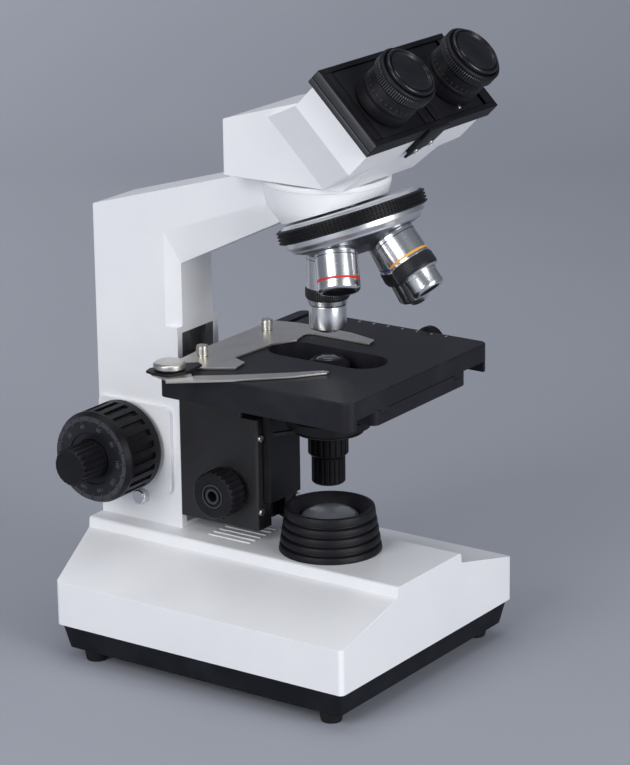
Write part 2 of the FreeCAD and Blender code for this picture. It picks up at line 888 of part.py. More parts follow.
for across, along in ((-7, -1.5), (0, 2.5), (7, -1.5)):
    rectangle(
        pins,
        S.inlet_across + across - 1,
        S.inlet_across + across + 1,
        S.fitting_height + along - 2,
        S.fitting_height + along + 2,
    )
pad(pins, S.inlet_depth - 6, reverse=True)
switch_well = rectangle(
    new_sketch(power_inlet, "XZ_Plane", -S.base_back - S.inlet_flange / 2),
    S.switch_across - S.switch_width / 2,
    S.switch_across + S.switch_width / 2,
    S.fitting_height - 8.5,
    S.fitting_height + 8.5,
)
pocket(switch_well, S.switch_depth, reverse=True)
place(power_inlet)

power_rocker = new_body("power_rocker")
rocker_side = outline(
    new_sketch(power_rocker, "YZ_Plane"),
    (dim(-4.0), dim(-1.4)),
    (dim(-1.0), dim(-6.8)),
    (dim(3.4), dim(-7.4)),
    (dim(1.8), ZERO),
    (dim(2.2), dim(7.2)),
    (dim(-1.0), dim(6.8)),
    (dim(-4.0), dim(1.4)),
)
pad(rocker_side, S.switch_width - 0.8, both_ways=True)
place(power_rocker, x=S.switch_across, y=S.base_back, z=S.fitting_height)

# Brightness dial on the right side

dimmer_knob = turned_piece(
    "dimmer_knob",
    (ZERO, dim(-8.0)),
    (S.dimmer_shaft_radius, dim(-8.0)),
    (S.dimmer_shaft_radius, S.body_gap),
    (S.dimmer_radius, S.body_gap),
    (S.dimmer_radius, S.dimmer_length - 1),
    (S.dimmer_radius - 1, S.dimmer_length),
    (ZERO, S.dimmer_length),
)
place(dimmer_knob, x=HALF_BASE, y=S.dimmer_y, z=S.dimmer_height, rotation=TO_RIGHT)
fluted(dimmer_knob, dim(18), dim(0.8), S.dimmer_radius, S.body_gap, S.dimmer_length)

# Arm: column, forward-leaning top and the boss that carries nosepiece and head

TILT = math.radians(20)
SEAT_Y = S.nose_y + S.nose_seat * math.sin(TILT)
SEAT_Z = S.nose_z + S.nose_seat * math.cos(TILT)
arm = new_body("arm")
column_section = outline(
    new_sketch(arm, "YZ_Plane"),
    (S.column_front, S.plateau_top),
    (S.column_back, S.plateau_top),
    (S.column_back, S.column_shoulder),
    (S.column_front, S.column_shoulder),
)
pad(column_section, S.column_width, both_ways=True)


def arm_section(height, front, corner, rise):
    """The upper arm's side outline at a distance from the middle plane."""
    return outline(
        new_sketch(arm, "YZ_Plane", height),
        (front, S.column_shoulder),
        (S.column_back, S.column_shoulder),
        (S.column_back, S.arm_back_top),
        (S.arm_top_end, S.arm_front_top),
        (S.arm_reach, S.arm_front_top),
        (S.arm_reach, corner + rise),
        (front, corner),
    )


pad(arm_section(ZERO, S.column_front, S.arm_inner_corner, S.arm_inner_rise), S.waist_width, both_ways=True)
cheek = loft(
    arm_section(HALF_WAIST, S.column_front, S.arm_inner_corner, S.arm_inner_rise),
    arm_section(HALF_COLUMN, S.waist_front, S.arm_outer_corner, S.arm_outer_rise),
)
mirrored(arm, cheek)
boss = outline(
    new_sketch(arm, "XZ_Plane", -S.axis_y),
    (ZERO, S.arm_front_top - S.boss_low_drop),
    (S.boss_low_radius, S.arm_front_top - S.boss_low_drop),
    (S.boss_waist_radius, S.arm_front_top - S.boss_waist_drop),
    (S.boss_top_radius, S.arm_front_top),
    (ZERO, S.arm_front_top),
)
boss_turned = revolve(boss)
nose_face = outline(
    new_sketch(arm, "YZ_Plane"),
    (SEAT_Y - 60, SEAT_Z + 60 * math.tan(TILT)),
    (SEAT_Y - 60, SEAT_Z - 60),
    (SEAT_Y + 48, SEAT_Z - 60),
    (SEAT_Y + 48, SEAT_Z - 48 * math.tan(TILT)),
)
pocket(nose_face)
light_bore = circle(new_sketch(arm, "XY_Plane", S.arm_front_top), (ZERO, S.axis_y), dim(7.5))
pocket(light_bore, dim(60.0))
channel = rectangle(
    new_sketch(arm, "XY_Plane", S.channel_low), -S.channel_half, S.channel_half, S.column_front - 5, CHANNEL_BACK
)
pocket(channel, S.channel_high - S.channel_low, reverse=True)
rack_slot = rectangle(
    new_sketch(arm, "XY_Plane", S.channel_low), -S.rack_slot_half, S.rack_slot_half, CHANNEL_BACK - 1, S.focus_y + 8.5
)
pocket(rack_slot, S.channel_high - S.channel_low, reverse=True)
for side in (-1, 1):
    knob_pad = rectangle(
        new_sketch(arm, "YZ_Plane", HALF_COLUMN * side),
        S.waist_front - 3,
        S.waist_front - 3 + S.focus_pad_width,
        S.focus_z - S.focus_pad_length / 2,
        S.focus_z + S.focus_pad_length / 2,
    )
    pad(knob_pad, S.focus_pad_height, reverse=side < 0)
shaft_hole = circle(new_sketch(arm, "YZ_Plane"), (S.focus_y, S.focus_z), S.focus_bush_radius)
pocket(shaft_hole)
tension_hole = circle(new_sketch(arm, "YZ_Plane", -HALF_COLUMN), (S.tension_y, S.tension_z), dim(2.55))
pocket(tension_hole, dim(9.0), reverse=True)


def on_pad_corner(middle, way, edge):
    """Tell whether an edge is one of the focus pads' four upright corners."""
    return abs(way.x) > 0.99 and HALF_COLUMN.value < abs(middle.x) < PAD_FACE.value and edge.Length < 3


rounded(arm, S.pad_corner_radius, on_pad_corner)
place(arm)

# Gibs that guide the focus slide inside the channel

gib_front = S.column_front + S.slide_gap
slide_gibs = new_body("slide_gibs")
slide_gibs.AllowCompound = True
for side in (-1, 1):
    gib = outline(
        new_sketch(slide_gibs, "XY_Plane", S.channel_low),
        (S.channel_half * side, gib_front),
        ((S.slide_front_half + S.running_gap * 2) * side, gib_front),
        ((S.slide_front_half + S.running_gap * 2) * side, S.gib_front),
        ((S.slide_back_half + S.running_gap * 2) * side, CHANNEL_BACK),
        (S.channel_half * side, CHANNEL_BACK),
    )
    pad(gib, S.channel_high - S.channel_low)
place(slide_gibs)

# Focus shafts, bushes and knobs

focus_bushes = new_body("focus_bushes")
focus_bushes.AllowCompound = True
for side in (-1, 1):
    bush = circle(new_sketch(focus_bushes, "YZ_Plane", S.rack_slot_half * side), (S.focus_y, S.focus_z), S.focus_bush_radius)
    circle(bush, (S.focus_y, S.focus_z), S.focus_bush_inner)
    pad(bush, PAD_FACE + 2 - S.rack_slot_half, reverse=side < 0)
place(focus_bushes)

TUBE_RADIUS = S.focus_bush_inner - S.running_gap
tube_end = SIZES["coarse_face"] - SIZES["coarse_well_depth"]
tube_gear = pinion_shape(
    SIZES["gear_module"], SIZES["focus_pinion_teeth"], SIZES["rack_half"] * 2, SIZES["tooth_backlash"]
)
tube_bore = Part.makeCylinder(SIZES["focus_tube_inner"], 2 * tube_end, Vector(0, 0, -tube_end))
focus_pinion = add_solid(
    "focus_pinion", tube_gear.fuse(shaft_shape(TUBE_RADIUS.value, -tube_end, tube_end)).cut(tube_bore)
)
place(focus_pinion, y=S.focus_y, z=S.focus_z, rotation=TO_RIGHT)

for name, side, turn in (("coarse_knob_left", -1, TO_LEFT), ("coarse_knob_right", 1, TO_RIGHT)):
    depth = S.coarse_face - S.coarse_back
    knob = turned_piece(
        name,
        (TUBE_RADIUS, ZERO),
        (S.coarse_radius - 1, ZERO),
        (S.coarse_radius, dim(1.0)),
        (S.coarse_radius, depth - S.coarse_rim),
        (S.coarse_dial_radius, depth),
        (S.coarse_well_radius, depth),
        (S.coarse_well_radius, depth - S.coarse_well_depth),
        (TUBE_RADIUS, depth - S.coarse_well_depth),
    )
    recess = rectangle(
        new_sketch(knob, "XY_Plane", depth - S.coarse_rim - S.coarse_recess_length - 2),
        S.coarse_radius - S.coarse_recess_depth,
        S.coarse_radius + 3,
        -S.coarse_recess_width / 2,
        S.coarse_recess_width / 2,
    )
    around(knob, pocket(recess, S.coarse_recess_length, reverse=True), S.coarse_recess_count)
    place(knob, x=S.coarse_back * side, y=S.focus_y, z=S.focus_z, rotation=turn)

FINE_START = S.coarse_face - S.coarse_well_depth + S.body_gap
FINE_ROD = S.focus_tube_inner - S.running_gap
fine_depth = S.fine_face - FINE_START
fine_knob_left = turned_piece(
    "fine_knob_left",
    (ZERO, -FINE_START * 2 - fine_depth + 4),
    (FINE_ROD, -FINE_START * 2 - fine_depth + 4),
    (FINE_ROD, ZERO),
    (S.fine_radius, ZERO),
    (S.fine_radius, fine_depth - 1.2),
    (S.fine_radius - 1.2, fine_depth),
    (ZERO, fine_depth),
)
place(fine_knob_left, x=-FINE_START, y=S.focus_y, z=S.focus_z, rotation=TO_LEFT)
fine_knob_right = turned_piece(
    "fine_knob_right",
    (FINE_ROD, ZERO),
    (S.fine_radius, ZERO),
    (S.fine_radius, fine_depth - 1.2),
    (S.fine_radius - 1.2, fine_depth),
    (ZERO, fine_depth),
    (ZERO, fine_depth - 4),
    (FINE_ROD, fine_depth - 4),
)
place(fine_knob_right, x=FINE_START, y=S.focus_y, z=S.focus_z, rotation=TO_RIGHT)
for knob in (fine_knob_left, fine_knob_right):
    fluted(knob, S.fine_flute_count, S.fine_flute_radius, S.fine_radius, dim(3.0), fine_depth)

tension_screw = turned_piece(
    "tension_screw",
    (ZERO, dim(-8.0)),
    (dim(2.5), dim(-8.0)),
    (dim(2.5), S.body_gap),
    (S.tension_radius, S.body_gap),
    (S.tension_radius, S.tension_length - 3),
    (S.tension_radius - 1, S.tension_length - 2.2),
    (ZERO, S.tension_length - 2.2),
)
place(tension_screw, x=-HALF_COLUMN, y=S.tension_y, z=S.tension_z, rotation=TO_LEFT)

# Focus slide with its rack, and the bracket that carries the stage

focus_slide = new_body("focus_slide")
slide_section = outline(
    new_sketch(focus_slide, "XY_Plane", S.slide_low),
    (-S.slide_front_half, S.column_front - 0.5),
    (S.slide_front_half, S.column_front - 0.5),
    (S.slide_front_half, S.gib_front),
    (S.slide_back_half, CHANNEL_BACK - S.slide_gap),
    (-S.slide_back_half, CHANNEL_BACK - S.slide_gap),
    (-S.slide_front_half, S.gib_front),
)
pad(slide_section, S.slide_high - S.slide_low)
place(focus_slide)

focus_rack = add_solid(
    "focus_rack",
    rack_shape(
        SIZES["gear_module"],
        0.7 * SIZES["gear_module"],
        1.15 * SIZES["gear_module"],
        SIZES["slide_low"] + 1,
        SIZES["slide_high"] - 1,
        SIZES["focus_z"],
        (RACK_FACE - CHANNEL_BACK + S.slide_gap).value,
        SIZES["rack_half"],
        SIZES["tooth_backlash"],
    ),
)
place(focus_rack, y=RACK_FACE)

stage_bracket = new_body("stage_bracket")
bracket_section = outline(
    new_sketch(stage_bracket, "YZ_Plane"),
    (S.bracket_front, S.bracket_low),
    (S.column_front - 0.5, S.bracket_low),
    (S.column_front - 0.5, S.bracket_top),
    (S.bracket_step, S.bracket_top),
    (S.bracket_step, S.bracket_step_top),
    (S.bracket_front, S.bracket_step_top),
)
pad(bracket_section, S.bracket_half * 2, both_ways=True)
rounded(
    stage_bracket,
    dim(1.5),
    lambda middle, way, edge: abs(way.z) > 0.99 and near(abs(middle.x), S.bracket_half) and middle.y < 10,
)
groove_low = S.condenser_slide_front_half + S.running_gap * 2
groove_high = S.condenser_slide_back_half + S.running_gap * 2
slide_groove = outline(
    new_sketch(stage_bracket, "XY_Plane", S.bracket_low),
    (-groove_low, S.bracket_front - 1),
    (groove_low, S.bracket_front - 1),
    (groove_low, S.bracket_front + 1),
    (groove_high, S.condenser_slide_back),
    (-groove_high, S.condenser_slide_back),
    (-groove_low, S.bracket_front + 1),
)
pocket(slide_groove, S.bracket_step_top - S.bracket_low, reverse=True)
pinion_room = rectangle(
    new_sketch(stage_bracket, "XY_Plane", S.bracket_low), dim(-4.6), dim(4.6), S.condenser_slide_back - 1, S.condenser_knob_y + 8
)
pocket(pinion_room, S.bracket_step_top - S.bracket_low - 6, reverse=True)
knob_hole = circle(
    new_sketch(stage_bracket, "YZ_Plane"),
    (S.condenser_knob_y, S.condenser_knob_z),
    S.condenser_shaft_radius + S.running_gap,
)
pocket(knob_hole, dim(80.0), both_ways=True)
place(stage_bracket)

bracket_screws = new_body("bracket_screws")
bracket_screws.AllowCompound = True
screw_heads = new_sketch(bracket_screws, "XZ_Plane", -S.bracket_front)
for across in (-S.bracket_screw_across, S.bracket_screw_across):
    for height in (S.bracket_screw_high, S.bracket_screw_low):
        circle(screw_heads, (across, height), S.bracket_screw_radius)
pad(screw_heads, dim(1.6))
place(bracket_screws)

# Condenser slide: carrier on the bracket's front, its rack, shaft and knob

CARRIER_FACE = S.bracket_front - S.body_gap
condenser_carrier = new_body("condenser_carrier")
carrier_plate = rectangle(
    new_sketch(condenser_carrier, "XY_Plane", S.condenser_plate_low),
    -S.condenser_plate_half,
    S.condenser_plate_half,
    CARRIER_FACE - S.condenser_plate_thickness,
    CARRIER_FACE,
)
pad(carrier_plate, S.condenser_plate_high - S.condenser_plate_low)
tongue = outline(
    new_sketch(condenser_carrier, "XY_Plane", S.condenser_plate_low),
    (-S.condenser_slide_front_half, CARRIER_FACE - 1),
    (S.condenser_slide_front_half, CARRIER_FACE - 1),
    (S.condenser_slide_front_half, S.bracket_front + 1),
    (S.condenser_slide_back_half, S.condenser_slide_back - S.slide_gap),
    (-S.condenser_slide_back_half, S.condenser_slide_back - S.slide_gap),
    (-S.condenser_slide_front_half, S.bracket_front + 1),
)
pad(tongue, S.bracket_step_top - S.condenser_plate_low - 1)
neck = rectangle(
    new_sketch(condenser_carrier, "XY_Plane", S.carrier_low), dim(-12.0), dim(12.0), S.axis_y, CARRIER_FACE - 1
)
pad(neck, S.carrier_high - S.carrier_low)
carrier_ring = circle(new_sketch(condenser_carrier, "XY_Plane", S.carrier_low), (ZERO, S.axis_y), S.carrier_radius)
pad(carrier_ring, S.carrier_high - S.carrier_low)
CARRIER_BORE = S.condenser_radius - 2
carrier_bore = circle(new_sketch(condenser_carrier, "XY_Plane", S.carrier_low - 1), (ZERO, S.axis_y), CARRIER_BORE)
pocket(carrier_bore, S.carrier_high - S.carrier_low + 2, reverse=True)
place(condenser_carrier)

condenser_rack = add_solid(
    "condenser_rack",
    rack_shape(
        SIZES["gear_module"],
        0.7 * SIZES["gear_module"],
        1.15 * SIZES["gear_module"],
        SIZES["condenser_plate_low"] + 0.5,
        SIZES["bracket_step_top"] - 14,
        SIZES["condenser_knob_z"],
        (S.condenser_knob_y - PITCH_RADIUS - S.condenser_slide_back + S.slide_gap).value,
        3.6,
        SIZES["tooth_backlash"],
    ),
)
place(condenser_rack, y=S.condenser_knob_y - PITCH_RADIUS)

knob_tip = SIZES["bracket_half"] + 5
condenser_gear = pinion_shape(SIZES["gear_module"], SIZES["focus_pinion_teeth"], 7.2, SIZES["tooth_backlash"])
condenser_pinion = add_solid(
    "condenser_pinion",
    condenser_gear.fuse(shaft_shape(SIZES["condenser_shaft_radius"], -knob_tip, SIZES["bracket_half"] - 1)),
)
place(condenser_pinion, y=S.condenser_knob_y, z=S.condenser_knob_z, rotation=TO_RIGHT)

knob_depth = S.condenser_knob_length
condenser_knob = turned_piece(
    "condenser_knob",
    (S.condenser_shaft_radius, ZERO),
    (S.condenser_knob_radius - 2.5, ZERO),
    (S.condenser_knob_radius, dim(2.0)),
    (S.condenser_knob_radius, knob_depth - 1.5),
    (S.condenser_knob_radius - 1.5, knob_depth),
    (S.condenser_knob_radius * 0.55, knob_depth),
    (S.condenser_knob_radius * 0.5, knob_depth - 1),
    (S.condenser_shaft_radius, knob_depth - 1),
)
fluted(condenser_knob, S.condenser_flute_count, dim(0.9), S.condenser_knob_radius, dim(2.0), knob_depth)
place(
    condenser_knob,
    x=-S.bracket_half - 2,
    y=S.condenser_knob_y,
    z=S.condenser_knob_z,
    rotation=TO_LEFT,
)

# Condenser with its front lens and the iris ring with a lever

low = S.condenser_low
condenser = turned_piece(
    "condenser",
    (dim(9.0), ZERO),
    (S.condenser_radius, ZERO),
    (S.condenser_radius, S.iris_low - low - 0.2),
    (S.condenser_radius - 5, S.iris_low - low - 0.2),
    (S.condenser_radius - 5, S.iris_high - low + 0.2),
    (CARRIER_BORE, S.iris_high - low + 0.2),
    (CARRIER_BORE, S.condenser_body_top - low),
    (S.condenser_neck_radius, S.condenser_body_top - low + 2),
    (S.condenser_neck_radius, S.condenser_top - low - 11),
    (S.condenser_top_radius, S.condenser_top - low - 9.8),
    (S.condenser_top_radius, S.condenser_top - low - 4),
    (S.condenser_lens_radius + 1, S.condenser_top - low - 0.8),
    (S.condenser_lens_radius, S.condenser_top - low - 0.8),
    (S.condenser_lens_radius, S.condenser_top - low - 6),
    (dim(5.0), S.condenser_top - low - 6),
    (dim(9.0), S.iris_high - low + 8),
)
place(condenser, y=S.axis_y, z=low)

condenser_lens = turned_piece(
    "condenser_lens",
    (ZERO, S.condenser_top - low - 6),
    (S.condenser_lens_radius, S.condenser_top - low - 6),
    (S.condenser_lens_radius, S.condenser_top - low - 1.4),
    *dome(S.condenser_lens_radius - 0.4, S.condenser_top - low - 1.4, dim(1.4), 4),
)
place(condenser_lens, y=S.axis_y, z=low)

iris_ring = new_body("iris_ring")
iris_band = circle(new_sketch(iris_ring, "XY_Plane"), (ZERO, ZERO), S.condenser_radius - 0.3)
circle(iris_band, (ZERO, ZERO), S.condenser_radius - 5 + S.running_gap)
pad(iris_band, S.iris_high - S.iris_low)
iris_arm = outline(
    new_sketch(iris_ring, "XY_Plane"),
    (-S.iris_lever_width / 2, S.condenser_radius - 2),
    (S.iris_lever_width / 2, S.condenser_radius - 2),
    (S.iris_lever_width / 2, S.iris_lever_length),
    (ZERO, S.iris_lever_length + 2),
    (-S.iris_lever_width / 2, S.iris_lever_length),
)
pad(iris_arm, S.iris_high - S.iris_low)
place(iris_ring, y=S.axis_y, z=S.iris_low, rotation=Rotation(AXIS_Z, 58))

# Stage: fixed lower plate with its rack, sliding top, the coaxial drive and a lock knob

stage_base = new_body("stage_base")
low_plate = rectangle(
    new_sketch(stage_base, "XY_Plane", S.bracket_top),
    -S.lower_plate_half,
    S.lower_plate_half,
    S.stage_front,
    S.lower_plate_back,
)
pad(low_plate, S.lower_plate_top - S.bracket_top)
low_hole = circle(new_sketch(stage_base, "XY_Plane", S.bracket_top), (ZERO, S.axis_y), S.lower_plate_hole)
pocket(low_hole)
RIB_WALL = S.guide_rib_half + S.slide_gap
rib_groove = rectangle(
    new_sketch(stage_base, "XY_Plane", S.lower_plate_top),
    S.guide_rib_x - RIB_WALL,
    S.guide_rib_x + RIB_WALL,
    S.stage_front - 1,
    S.lower_plate_back + 1,
)
RIB_DEPTH = S.guide_rib_height - (S.stage_plate_low - S.lower_plate_top) + S.slide_gap
mirrored(stage_base, pocket(rib_groove, RIB_DEPTH))
rounded(
    stage_base,
    dim(4.0),
    lambda middle, way, edge: abs(way.z) > 0.99 and near(middle.y, S.stage_front) and near(abs(middle.x), 46.0),
)
place(stage_base)

RACK_EDGE = S.drive_x - S.drive_bearing_radius
stage_rack = add_solid(
    "stage_rack",
    rack_shape(
        1.0,
        0.7,
        1.15,
        SIZES["drive_rack_front"],
        SIZES["drive_rack_back"],
        SIZES["drive_y"],
        (RACK_EDGE - S.lower_plate_half).value,
        2.6,
        SIZES["tooth_backlash"],
    ),
)
place(stage_rack, x=RACK_EDGE, z=S.bracket_top + 4.6, rotation=Rotation(Vector(1, 1, 1), -120))

stage_plate = new_body("stage_plate")
rib_low = S.stage_plate_low - S.guide_rib_height
stage_section = outline(
    new_sketch(stage_plate, "XZ_Plane", -S.stage_front),
    (-S.stage_half, S.stage_skirt_low),
    (-S.stage_half + 6, S.stage_skirt_low),
    (-S.stage_half + 6, S.stage_plate_low),
    (-S.guide_rib_x - S.guide_rib_half, S.stage_plate_low),
    (-S.guide_rib_x - S.guide_rib_half, rib_low),
    (-S.guide_rib_x + S.guide_rib_half, rib_low),
    (-S.guide_rib_x + S.guide_rib_half, S.stage_plate_low),
    (S.guide_rib_x - S.guide_rib_half, S.stage_plate_low),
    (S.guide_rib_x - S.guide_rib_half, rib_low),
    (S.guide_rib_x + S.guide_rib_half, rib_low),
    (S.guide_rib_x + S.guide_rib_half, S.stage_plate_low),
    (S.stage_half - 6, S.stage_plate_low),
    (S.stage_half - 6, S.stage_skirt_low),
    (S.stage_half, S.stage_skirt_low),
    (S.stage_half, S.stage_top),
    (-S.stage_half, S.stage_top),
)
pad(stage_section, S.stage_back - S.stage_front, reverse=True)
rounded(
    stage_plate,
    S.stage_corner_radius - 0.5,
    lambda middle, way, edge: abs(way.z) > 0.99 and near(abs(middle.x), S.stage_half)
    and (near(middle.y, S.stage_front) or near(middle.y, S.stage_back)),
)
rounded(stage_plate, dim(0.8), lambda middle, way, edge: near(middle.z, S.stage_top))
light_slot = outline(
    new_sketch(stage_plate, "XY_Plane", S.stage_top),
    *oblong(S.stage_slot_half, S.stage_slot_front, S.stage_slot_back),
)
pocket(light_slot, S.stage_top - S.stage_plate_low + 4)
STEM_WALL = S.carriage_stem_half + S.slide_gap
BAR_WALL = S.carriage_half + S.slide_gap
carriage_slot = outline(
    new_sketch(stage_plate, "YZ_Plane"),
    (S.carriage_y - STEM_WALL, S.stage_top + 1),
    (S.carriage_y - STEM_WALL, CARRIAGE_NECK + S.slide_gap),
    (S.carriage_y - BAR_WALL, CARRIAGE_NECK + S.slide_gap),
    (S.carriage_y - BAR_WALL, CARRIAGE_LOW - S.slide_gap),
    (S.carriage_y + BAR_WALL, CARRIAGE_LOW - S.slide_gap),
    (S.carriage_y + BAR_WALL, CARRIAGE_NECK + S.slide_gap),
    (S.carriage_y + STEM_WALL, CARRIAGE_NECK + S.slide_gap),
    (S.carriage_y + STEM_WALL, S.stage_top + 1),
)
pocket(carriage_slot)
bearing_length = S.bracket_top + 0.8 - S.drive_bearing_low
bearing_wall = rectangle(
    new_sketch(stage_plate, "XY_Plane", S.drive_bearing_low),
    S.stage_half - 5,
    S.stage_half,
    S.drive_y - 7,
    S.drive_y + 7,
)
pad(bearing_wall, S.stage_skirt_low + 1 - S.drive_bearing_low)
bearing_arm = rectangle(
    new_sketch(stage_plate, "XY_Plane", S.drive_bearing_low),
    S.drive_x,
    S.stage_half - 4,
    S.drive_y - 7,
    S.drive_y + 7,
)
pad(bearing_arm, bearing_length)
bearing_tube = circle(
    new_sketch(stage_plate, "XY_Plane", S.drive_bearing_low), (S.drive_x, S.drive_y), S.drive_bearing_radius
)
pad(bearing_tube, bearing_length)
pinion_room = circle(
    new_sketch(stage_plate, "XY_Plane", S.drive_bearing_low + bearing_length), (S.drive_x, S.drive_y), dim(9.3)
)
pocket(pinion_room, dim(9.0), reverse=True)
bearing_bore = circle(
    new_sketch(stage_plate, "XY_Plane", S.drive_bearing_low - 1),
    (S.drive_x, S.drive_y),
    S.drive_sleeve_radius + S.running_gap,
)
pocket(bearing_bore, bearing_length + 2, reverse=True)
drum_room = circle(
    new_sketch(stage_plate, "XY_Plane", S.stage_plate_low), (S.drive_x, S.drive_y), S.drum_radius + 3.2
)
pocket(drum_room, dim(7.0), reverse=True)
lock_hole = circle(new_sketch(stage_plate, "YZ_Plane", S.stage_half), (S.stage_lock_y, S.stage_lock_z), dim(2.05))
pocket(lock_hole, dim(5.0))
place(stage_plate)

pinion_bore = Part.makeCylinder(SIZES["drive_sleeve_radius"], 5.0, Vector(0, 0, -2.5))
y_pinion = add_solid("y_pinion", pinion_shape(1.0, 16, 5.0, SIZES["tooth_backlash"]).cut(pinion_bore))
place(y_pinion, x=S.drive_x, y=S.drive_y, z=S.bracket_top + 4.6, rotation=Rotation(AXIS_Z, -90))

spindle_bore = S.drive_spindle_radius + S.running_gap
y_knob = turned_piece(
    "y_knob",
    (spindle_bore, ZERO),
    (S.y_knob_radius - 1, ZERO),
    (S.y_knob_radius, dim(1.0)),
    (S.y_knob_radius, S.y_knob_high - S.y_knob_low - 1),
    (S.y_knob_radius - 1, S.y_knob_high - S.y_knob_low),
    (S.drive_sleeve_radius, S.y_knob_high - S.y_knob_low),
    (S.drive_sleeve_radius, S.bracket_top + 7.1 - S.y_knob_low),
    (spindle_bore, S.bracket_top + 7.1 - S.y_knob_low),
)
fluted(y_knob, S.drive_flute_count, dim(0.8), S.y_knob_radius, dim(1.0), S.y_knob_high - S.y_knob_low - 1)
place(y_knob, x=S.drive_x, y=S.drive_y, z=S.y_knob_low)

drum_low = S.stage_plate_low + 1.4 - S.x_knob_low
x_knob = turned_piece(
    "x_knob",
    (ZERO, ZERO),
    (S.x_knob_radius - 1, ZERO),
    (S.x_knob_radius, dim(1.0)),
    (S.x_knob_radius, S.x_knob_high - S.x_knob_low - 1),
    (S.x_knob_radius - 1, S.x_knob_high - S.x_knob_low),
    (S.drive_spindle_radius, S.x_knob_high - S.x_knob_low),
    (S.drive_spindle_radius, drum_low),
    (S.drum_radius + 1, drum_low),
    (S.drum_radius + 1, drum_low + 0.8),
    (S.drum_radius, drum_low + 0.8),
    (S.drum_radius, drum_low + 3.2),
    (S.drum_radius + 1, drum_low + 3.2),
    (S.drum_radius + 1, drum_low + 4),
    (ZERO, drum_low + 4),
)
fluted(x_knob, S.drive_flute_count, dim(0.7), S.x_knob_radius, dim(1.0), S.x_knob_high - S.x_knob_low - 1)
place(x_knob, x=S.drive_x, y=S.drive_y, z=S.x_knob_low)

stage_lock = turned_piece(
    "stage_lock",
    (ZERO, dim(-4.5)),
    (dim(2.0), dim(-4.5)),
    (dim(2.0), S.body_gap),
    (S.stage_lock_radius - 1.5, S.body_gap),
    (S.stage_lock_radius, dim(2.0)),
    (S.stage_lock_radius, S.stage_lock_length - 2),
    (S.stage_lock_radius - 2.5, S.stage_lock_length),
    (ZERO, S.stage_lock_length + 0.8),
)
place(stage_lock, x=S.stage_half, y=S.stage_lock_y, z=S.stage_lock_z, rotation=TO_RIGHT)

# Slide holder: carriage in the T slot, plate with a fixed jaw, and the sprung finger on its pivot

holder_carriage = new_body("holder_carriage")
carriage_section = outline(
    new_sketch(holder_carriage, "YZ_Plane", S.carriage_left),
    (S.carriage_y - S.carriage_half, CARRIAGE_LOW),
    (S.carriage_y + S.carriage_half, CARRIAGE_LOW),
    (S.carriage_y + S.carriage_half, CARRIAGE_NECK),
    (S.carriage_y + S.carriage_stem_half, CARRIAGE_NECK),
    (S.carriage_y + S.carriage_stem_half, HOLDER_LOW),
    (S.carriage_y - S.carriage_stem_half, HOLDER_LOW),
    (S.carriage_y - S.carriage_stem_half, CARRIAGE_NECK),
    (S.carriage_y - S.carriage_half, CARRIAGE_NECK),
)
pad(carriage_section, S.carriage_right - S.carriage_left)
thumb_holes = new_sketch(holder_carriage, "XY_Plane", HOLDER_LOW)
for across in (S.thumb_left_x, S.thumb_right_x):
    circle(thumb_holes, (across, S.carriage_y), S.thumb_shank_radius)
pocket(thumb_holes, dim(5.0))
place(holder_carriage)

slide_holder = new_body("slide_holder")
holder_plan = outline(
    new_sketch(slide_holder, "XY_Plane", HOLDER_LOW),
    (S.pivot_x - 6, S.pivot_y - 5),
    (S.pivot_x + 5, S.pivot_y - 6),
    (dim(-62.0), dim(5.5)),
    (dim(-57.0), dim(-3.2)),
    (dim(-50.5), dim(-13.0)),
    (dim(-39.0), dim(-10.9)),
    (dim(-34.4), dim(-0.6)),
    (dim(-1.6), dim(-2.7)),
    (dim(12.5), dim(-10.0)),
    (dim(26.0), dim(-6.6)),
    (dim(28.2), dim(-9.5)),
    (dim(27.7), dim(-49.0)),
    (dim(34.8), dim(-47.8)),
    (dim(36.0), dim(-46.4)),
    (dim(40.8), dim(-28.6)),
    (dim(42.0), dim(8.3)),
    (dim(38.0), dim(25.0)),
    (dim(12.0), dim(25.4)),
    (dim(-31.0), dim(25.4)),
    (dim(-57.0), dim(23.0)),
    (S.pivot_x - 4, S.pivot_y + 7),
    (S.pivot_x - 8, S.pivot_y + 2),
)
pad(holder_plan, S.holder_thickness)
holder_holes = new_sketch(slide_holder, "XY_Plane", HOLDER_TOP)
for across in (S.thumb_left_x, S.thumb_right_x):
    circle(holder_holes, (across, S.carriage_y), S.thumb_shank_radius)
circle(holder_holes, (S.pivot_x, S.pivot_y), S.pivot_radius)
pocket(holder_holes, S.holder_thickness + 1)
place(slide_holder)

thumb_screws = new_body("thumb_screws")
thumb_screws.AllowCompound = True
thumb_heads = new_sketch(thumb_screws, "XY_Plane", HOLDER_TOP)
thumb_shanks = new_sketch(thumb_screws, "XY_Plane", HOLDER_TOP)
for across in (S.thumb_left_x, S.thumb_right_x):
    circle(thumb_heads, (across, S.carriage_y), S.thumb_radius)
    circle(thumb_shanks, (across, S.carriage_y), S.thumb_shank_radius)
pad(thumb_heads, S.thumb_height)
pad(thumb_shanks, S.holder_thickness + 4, reverse=True)
place(thumb_screws)

